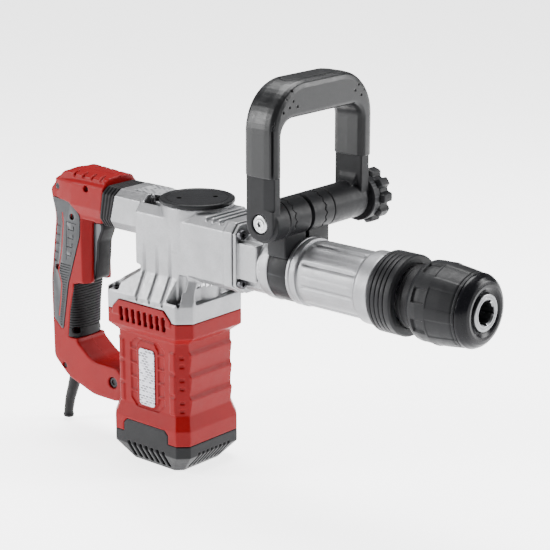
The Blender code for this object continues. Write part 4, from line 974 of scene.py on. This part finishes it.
def handle_hardware():
    pivot = (HANDLE_PIVOT[0], 0, up(HANDLE_PIVOT[1]))
    half = [(0.0151, 0.004, 0), (0.0151, 0.0047, 0.0003), (0.0164, 0.0047, 0.0006), (0.0164, 0, 0)]
    head = rounded(half, 3)
    item = revolve("pivot_bolt_turned", [(-a, r) for a, r in reversed(head)] + head, "Y", pivot, 64)
    for side in (1, -1):
        cut(item, side_plate(f"pivot_hex_{side}", star(pivot[::2], [0.003] * 6), side, 0.0154, 0.02))
    piece(sharp(item, 30), "rear_handle", "black_steel", "handle_pivot_bolt", slot="steel")
    for side, name in SIDES:
        for i, (x, height, reach) in enumerate(SHELL_SCREWS):
            shell_screw(f"shell_screw_{name}_{i}", (x, side * (reach + 0.0001), up(height)), side)


def shell_screw(name, place, side):
    profile = [(-0.002, 0), (-0.002, 0.0014), (0, 0.0014), (0, 0.0027), (0.0004, 0.0028), (0.0008, 0.0022),
        (0.001, 0)]
    item = revolve(name, profile, "Z", steps=24)
    cut(item, box(name + "_slot", (-0.0016, -0.0003, 0.0005), (0.0016, 0.0003, 0.002)),
        box(name + "_cross", (-0.0003, -0.0016, 0.0005), (0.0003, 0.0016, 0.002)))
    sharp(item, 30)
    turn = Matrix.Rotation(math.radians(-90 * side), 4, "X")
    item.data.transform(Matrix.Translation(place) @ turn)
    piece(item, "rear_handle", "black_steel", slot="steel")


BOOT_PATH = [((-0.1285, -0.147), 0.0058), ((-0.1305, -0.1575), 0.0057), ((-0.134, -0.168), 0.0053),
    ((-0.1385, -0.18), 0.0048), ((-0.1412, -0.192), 0.0044), ((-0.1415, -0.1955), 0.0044),
    ((-0.1416, -0.1966), 0.005), ((-0.1418, -0.1988), 0.0048)]

BOOT_SIDES = 48
BOOT_BORE = 0.003


def cord_boot():
    """Tapered strain relief of the supply cord, swept along its bend."""
    lengths = [0.0]
    for (first, _), (second, _) in zip(BOOT_PATH, BOOT_PATH[1:]):
        lengths.append(lengths[-1] + math.dist(first, second))
    sections = []
    count = 150
    for i in range(count + 1):
        along = lengths[-1] * i / count
        k = max(j for j in range(len(lengths) - 1) if lengths[j] <= along + 0.0000001)
        part = (along - lengths[k]) / (lengths[k + 1] - lengths[k])
        (x0, h0), r0 = BOOT_PATH[k]
        (x1, h1), r1 = BOOT_PATH[k + 1]
        x, height, radius = x0 + (x1 - x0) * part, h0 + (h1 - h0) * part, r0 + (r1 - r0) * part
        sections.append(ring_section(x, height, radius, (h1 - h0, x0 - x1)))
    for (x, height), _ in BOOT_PATH[::-1]:
        sections.append(ring_section(x, height, BOOT_BORE, (-1.0, 0.0)))
    item = loft("cord_boot_moulding", sections, closed=True)
    piece(sharp(item, 50), "rear_handle", "black_rubber", "cord_boot")


def ring_section(x, height, radius, across):
    """A circle about a point of the handle's middle plane, square to the path there."""
    flat = Vector((-across[0], -across[1])).normalized()
    points = []
    for i in range(BOOT_SIDES):
        angle = 2 * math.pi * i / BOOT_SIDES
        reach = radius * math.cos(angle)
        points.append((x + flat.x * reach, radius * math.sin(angle), up(height + flat.y * reach)))
    return points


def bellows():
    """Ribbed rubber bellows, which stretches between the housing's neck and the handle."""
    base = [(0.016, 0.04), (0.0225, 0.034), (0.0225, 0.011), (0.015, 0.002), (-0.015, 0.002),
        (-0.0225, 0.011), (-0.0225, 0.034), (-0.016, 0.04)]
    outline = rounded([(y * 0.99, height, 0.004) for y, height in base], 4)

    def section(part, wide, tall):
        points = []
        for y, height in outline:
            height = 0.021 + (height - 0.021) * tall
            front, back = neck_back(height) - 0.0003, head_front(height) + 0.0003
            points.append((back + (front - back) * part, y * wide, up(height)))
        return points

    sections = []
    waves, count = 4, 64
    for i in range(count + 1):
        part = i / count
        swell = 0.5 - 0.5 * math.cos(2 * math.pi * waves * part)
        scale = 0.955 + 0.045 * min(1.0, swell * 1.5) if 0.03 < part < 0.97 else 0.955
        sections.append(section(part, scale, scale))
    for part in (1.0, 0.5, 0.0):
        sections.append(section(part, 0.78, 0.8))
    item = loft("bellows_moulding", sections, closed=True)
    sharp(item, 55)
    HELPERS.remove(item)
    item.data.materials.append(PAINTS["black_rubber"])
    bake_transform(item)
    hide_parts("handle_bellows")


def trigger():
    """Black finger paddle with grey cheeks set behind its front face."""
    profile = [(-0.0985, -0.001, 0.001), (-0.079, 0.001, 0.002), (-0.079, -0.005, 0.003),
        (-0.0845, -0.017, 0.01), (-0.086, -0.033, 0.02), (-0.089, -0.0535, 0.005), (-0.099, -0.055, 0.001)]
    core = plate("trigger_core", raised(profile, 6), "Y", -0.008, 0.008)
    soften(core, 0.0012, 3, 50)
    baked(core)
    for side, name in SIDES:
        cut(core, side_plate(f"cheek_bed_{name}", cheek_outline(0.0001), side, 0.0068, 0.009))
        cheek = side_plate(f"trigger_cheek_{name}", cheek_outline(0.0), side, 0.0068, 0.0079)
        soften(cheek, 0.0003, 2, 50)
        piece(sharp(cheek, 50), "trigger", "trigger_grey", slot="charcoal_plastic")
    piece(sharp(core, 50), "trigger", "black_rubber", "trigger", slot="charcoal_plastic")


def cheek_outline(spread):
    """Side outline of a trigger cheek, a few millimetres behind the paddle's face."""
    ahead = -0.0032 + spread
    corners = [(-0.0984, -0.0012, 0.001), (-0.079 + ahead, -0.0002 + spread, 0.002),
        (-0.079 + ahead, -0.005, 0.003), (-0.0845 + ahead, -0.017, 0.01), (-0.086 + ahead, -0.033, 0.02),
        (-0.089 + ahead, -0.053, 0.003), (-0.0984, -0.054 - spread, 0.001)]
    return raised(corners, 6)


# ------------------------ D-handle
TILT_X, TILT_HEIGHT = 0.1425, 0.0465
ARM_HALF_X = 0.0143
GRIP_HALF_X = 0.0162
NEAR_ARM_Y = (-0.048, -0.0392)
FAR_ARM_Y = (0.064, 0.074)
TILT_POINT = (TILT_X, 0, HAMMER_AXIS_Z + TILT_HEIGHT)


def arch_outline(left, right, bottom, top, radius):
    """An upright outline in YZ with its two top corners rounded."""
    corners = [(left, up(bottom), 0), (left, up(top), radius), (right, up(top), radius),
        (right, up(bottom), 0)]
    return rounded(corners, 14)


def arch_loft(name, shapes):
    """Loft along X through arch outlines of one point count, given as (x, outer outline)."""
    return loft(name, [[(x, y, z) for y, z in outline] for x, outline in shapes])


def band_clamp():
    """The slit clamp: its band, block and the toothed tube that carries the D-handle."""
    low, high = 0.1328, 0.1522
    band = revolve("clamp_band", rounded([(low, 0.0258, 0), (low, 0.0278, 0.0006), (high, 0.0278, 0.0006),
        (high, 0.0258, 0)], 3), "X", AXIS, 144)
    block = box("clamp_block", (low, -0.028, up(0.015)), (high, 0.028, up(0.04)), 0.0015, 3)
    cut(block, rod("clamp_block_bore", 0.0263, (0.12, 0, up(0)), 0.17, "X", 96))

    def seam(along, radius, angle):
        if radius < 0.015:
            return radius
        wave = 0.0011 * (2 * abs((math.degrees(angle) / 24) % 1 - 0.5) - 0.5) * 2
        for place in (-0.0215, 0.0165):
            if abs(along - place - wave) < 0.00045:
                return radius - 0.0008
        return radius

    tube_profile = [(-0.028, 0.0053, 0), (-0.028, 0.0155, 0), (-0.0273, 0.0162, 0), (0.0273, 0.0162, 0),
        (0.028, 0.0155, 0), (0.028, 0.0053, 0)]
    tube = revolve("clamp_tube", dense(rounded(tube_profile), 0.00035), "Y", TILT_POINT, 180, seam)
    join(band, block, tube)
    cut(band, box("clamp_slit", (0.12, -0.0022, up(0.02)), (0.17, 0.0022, up(0.07))),
        rod("barrel_way", 0.0258, (0.131, 0, up(0)), 0.154, "X", 144),
        rod("clamp_bolt_way", 0.0053, (TILT_X, -0.04, up(TILT_HEIGHT)), 0.04, "Y", 64))
    piece(sharp(band, 30), "clamp", "charcoal_plastic", "band_clamp")


def d_handle_frame():
    outer = arch_outline(NEAR_ARM_Y[0], FAR_ARM_Y[1], TILT_HEIGHT, 0.148, 0.028)
    inner = arch_outline(NEAR_ARM_Y[1], FAR_ARM_Y[0], TILT_HEIGHT - 0.02, 0.139, 0.016)
    item = plate("d_frame_arch", outer, "X", TILT_X - ARM_HALF_X, TILT_X + ARM_HALF_X)
    cut(item, plate("d_frame_window", inner, "X", TILT_X - 0.03, TILT_X + 0.03))
    z = up(TILT_HEIGHT)
    y = FAR_ARM_Y[0] + 0.0002
    curve = [(y, up(TILT_HEIGHT + 0.01)), (y, up(TILT_HEIGHT + 0.0262))]
    for k in range(7):
        part = math.pi / 2 * k / 6
        height = TILT_HEIGHT + 0.0262 - 0.0125 * math.sin(part)
        curve.append((y - 0.0105 * (1 - math.cos(part)), up(height)))
    curve.append((y - 0.0105, up(TILT_HEIGHT + 0.01)))
    fillet = plate("arm_fillet", curve, "X", TILT_X - 0.0088, TILT_X + 0.0088)
    join(item, rod("near_arm_end", ARM_HALF_X, (TILT_X, NEAR_ARM_Y[0], z), NEAR_ARM_Y[1], "Y", 96),
        rod("near_sleeve", 0.0162, (TILT_X, NEAR_ARM_Y[0] + 0.004, z), -0.0283, "Y", 96),
        rod("far_arm_end", ARM_HALF_X, (TILT_X, FAR_ARM_Y[0], z), FAR_ARM_Y[1], "Y", 96),
        rod("far_sleeve", 0.0162, (TILT_X, 0.0283, z), FAR_ARM_Y[1] - 0.003, "Y", 96), fillet)
    cut(item, rod("handle_bolt_way", 0.0053, (TILT_X, -0.06, z), 0.09, "Y"),
        rod("bolt_head_way", 0.0082, (TILT_X, -0.06, z), NEAR_ARM_Y[0] + 0.003, "Y", 64))
    face = NEAR_ARM_Y[0]
    wedge = [(TILT_X + 0.0045, face - 0.001), (TILT_X + 0.0045, face), (TILT_X + 0.015, face + 0.002),
        (TILT_X + 0.015, face - 0.001)]
    cut(item, plate("near_face_chamfer", wedge, "Z", z + 0.012, up(0.125)))
    piece(moulded(item, 0.0007, 2, 0.5), "d_handle", "charcoal_plastic", "d_handle_frame")


def d_handle_grip():
    """Soft grip over the top of the D-handle, with an inset panel and small dimples."""
    sections = []
    spread = [(-1.0, 0.006), (-0.93, 0.0024), (-0.74, 0.0005), (-0.4, 0.0), (0.4, 0.0), (0.74, 0.0005),
        (0.93, 0.0024), (1.0, 0.006)]
    for part, shrink in spread:
        outline = arch_outline(-0.0499 + shrink, 0.0768 - shrink, 0.085, 0.1599 - shrink, 0.04 - shrink)
        sections.append((TILT_X + GRIP_HALF_X * part, outline))
    item = arch_loft("grip_outer", sections)
    window = []
    for part, shrink in ((-2.0, 0.0042), (-1.0, 0.0042), (-0.9, 0.0016), (-0.66, 0.0004), (0.0, 0.0),
            (0.66, 0.0004), (0.9, 0.0016), (1.0, 0.0042), (2.0, 0.0042)):
        outline = arch_outline(-0.0375 - shrink, 0.062 + shrink, 0.06, 0.13 + shrink, 0.013 + shrink)
        window.append((TILT_X + GRIP_HALF_X * part, outline))
    cut(item, arch_loft("grip_window", window))
    sleeve_outer = arch_outline(NEAR_ARM_Y[0] - 0.0003, FAR_ARM_Y[1] + 0.0003, 0.04, 0.1483, 0.0283)
    sleeve_inner = arch_outline(NEAR_ARM_Y[1] + 0.0003, FAR_ARM_Y[0] - 0.0003, 0.02, 0.1387, 0.0157)
    core = plate("grip_core", sleeve_outer, "X", TILT_X - ARM_HALF_X - 0.0003, TILT_X + ARM_HALF_X + 0.0003)
    cut(core, plate("grip_core_window", sleeve_inner, "X", TILT_X - 0.03, TILT_X + 0.03))
    cut(item, baked(core))
    baked(item)
    groove_out = rounded_box(TILT_X - 0.0095, TILT_X + 0.0095, -0.0195, 0.047, 0.0093, 12)
    groove_in = rounded_box(TILT_X - 0.0085, TILT_X + 0.0085, -0.0185, 0.046, 0.0083, 12)
    groove = plate("panel_groove", groove_out, "Z", up(0.1585), up(0.17))
    cut(groove, plate("panel_groove_core", groove_in, "Z", up(0.15), up(0.18)))
    dimples = []
    for side in (1, -1):
        for y, height in [(-0.0415, 0.1435), (-0.0375, 0.1375), (-0.0335, 0.1475), (-0.03, 0.1405),
                (-0.0255, 0.145), (-0.0265, 0.153), (-0.0205, 0.14), (0.052, 0.1425), (0.0565, 0.147),
                (0.06, 0.138), (0.064, 0.142), (0.0555, 0.154)]:
            shape = bmesh.new()
            bmesh.ops.create_icosphere(shape, subdivisions=2, radius=0.0012)
            x = TILT_X + side * (GRIP_HALF_X if height < 0.148 else 0.015)
            bmesh.ops.translate(shape, vec=(x, y, up(height)), verts=shape.verts)
            dimples.append(from_bmesh(f"dimple_{side}_{len(dimples)}", shape))
    lip = rounded_box(-0.028, 0.053, up(0.1316), up(0.1324), 0)
    ridge = plate("palm_line", lip, "X", TILT_X + 0.014, TILT_X + 0.02)
    moulded(item, 0.0006, 2, 1.0)
    cut(item, groove, ridge, *dimples)
    baked(thinned(item, 0.6))
    item.data.shade_smooth()
    piece(item, "d_handle", "grip_rubber", "d_handle_grip", slot="black_rubber")


def knob_reach(along, radius, angle):
    """Radius of the lobed knob: ten rounded lobes with hollows between them."""
    if radius < 0.018:
        return radius
    lobe = (math.degrees(angle) / 36 % 1 - 0.5) * 2
    hollow = max(0.0, 1 - (abs(lobe) / 0.55) ** 3)
    return radius - 0.0041 * hollow


def d_handle_fixings():
    bolt = [(-0.0478, 0, 0), (-0.0478, 0.004, 0), (-0.0473, 0.0046, 0), (-0.0476, 0.0062, 0.0002),
        (-0.0472, 0.0074, 0.0006), (-0.0453, 0.0074, 0.0003), (-0.0453, 0.005, 0), (0.088, 0.005, 0),
        (0.088, 0, 0)]
    item = revolve("handle_bolt_turned", rounded(bolt, 3), "Y", TILT_POINT, 64)
    socket = star((TILT_X, up(TILT_HEIGHT)), (0.0031, 0.0023) * 6)
    cut(item, plate("bolt_star", socket, "Y", -0.049, -0.0463))
    piece(sharp(item, 30), "d_handle", "steel", "d_handle_bolt")
    flange = [(0.0745, 0.0053, 0), (0.0745, 0.0195, 0.0006), (0.0752, 0.0204, 0.0006),
        (0.0824, 0.0204, 0.0004), (0.0824, 0.0053, 0)]
    base = revolve("knob_flange", rounded(flange, 3), "Y", TILT_POINT, 96)
    body = [(0.0815, 0.0053, 0), (0.0815, 0.0215, 0.001), (0.0835, 0.024, 0.002), (0.094, 0.024, 0.003),
        (0.0967, 0.0215, 0.002), (0.0967, 0.015, 0.002), (0.0958, 0.014, 0.001), (0.0958, 0.0095, 0.001),
        (0.097, 0.0085, 0.0005), (0.097, 0, 0), (0.09, 0, 0), (0.09, 0.0053, 0)]
    profile = dense(from_axis(rounded(body, 4)), 0.0008, False)
    knob = revolve("knob_body", profile, "Y", TILT_POINT, 240, knob_reach)
    join(knob, base)
    piece(sharp(knob, 40), "knob", "charcoal_plastic", "d_handle_knob")


PIECES = (
    gear_housing, neck_plate, crank_cover, machine_screws, motor_housing, motor_end_cap,
    label_plate, barrel, tool_holder, chuck_sleeve, adjust_collar, handle_shells,
    handle_grips, handle_hardware, cord_boot, bellows, trigger, band_clamp,
    d_handle_frame, d_handle_grip, d_handle_fixings,
)

make_camera()
make_studio()
dress_nodes()
for build in PIECES:
    build()
clear_helpers()
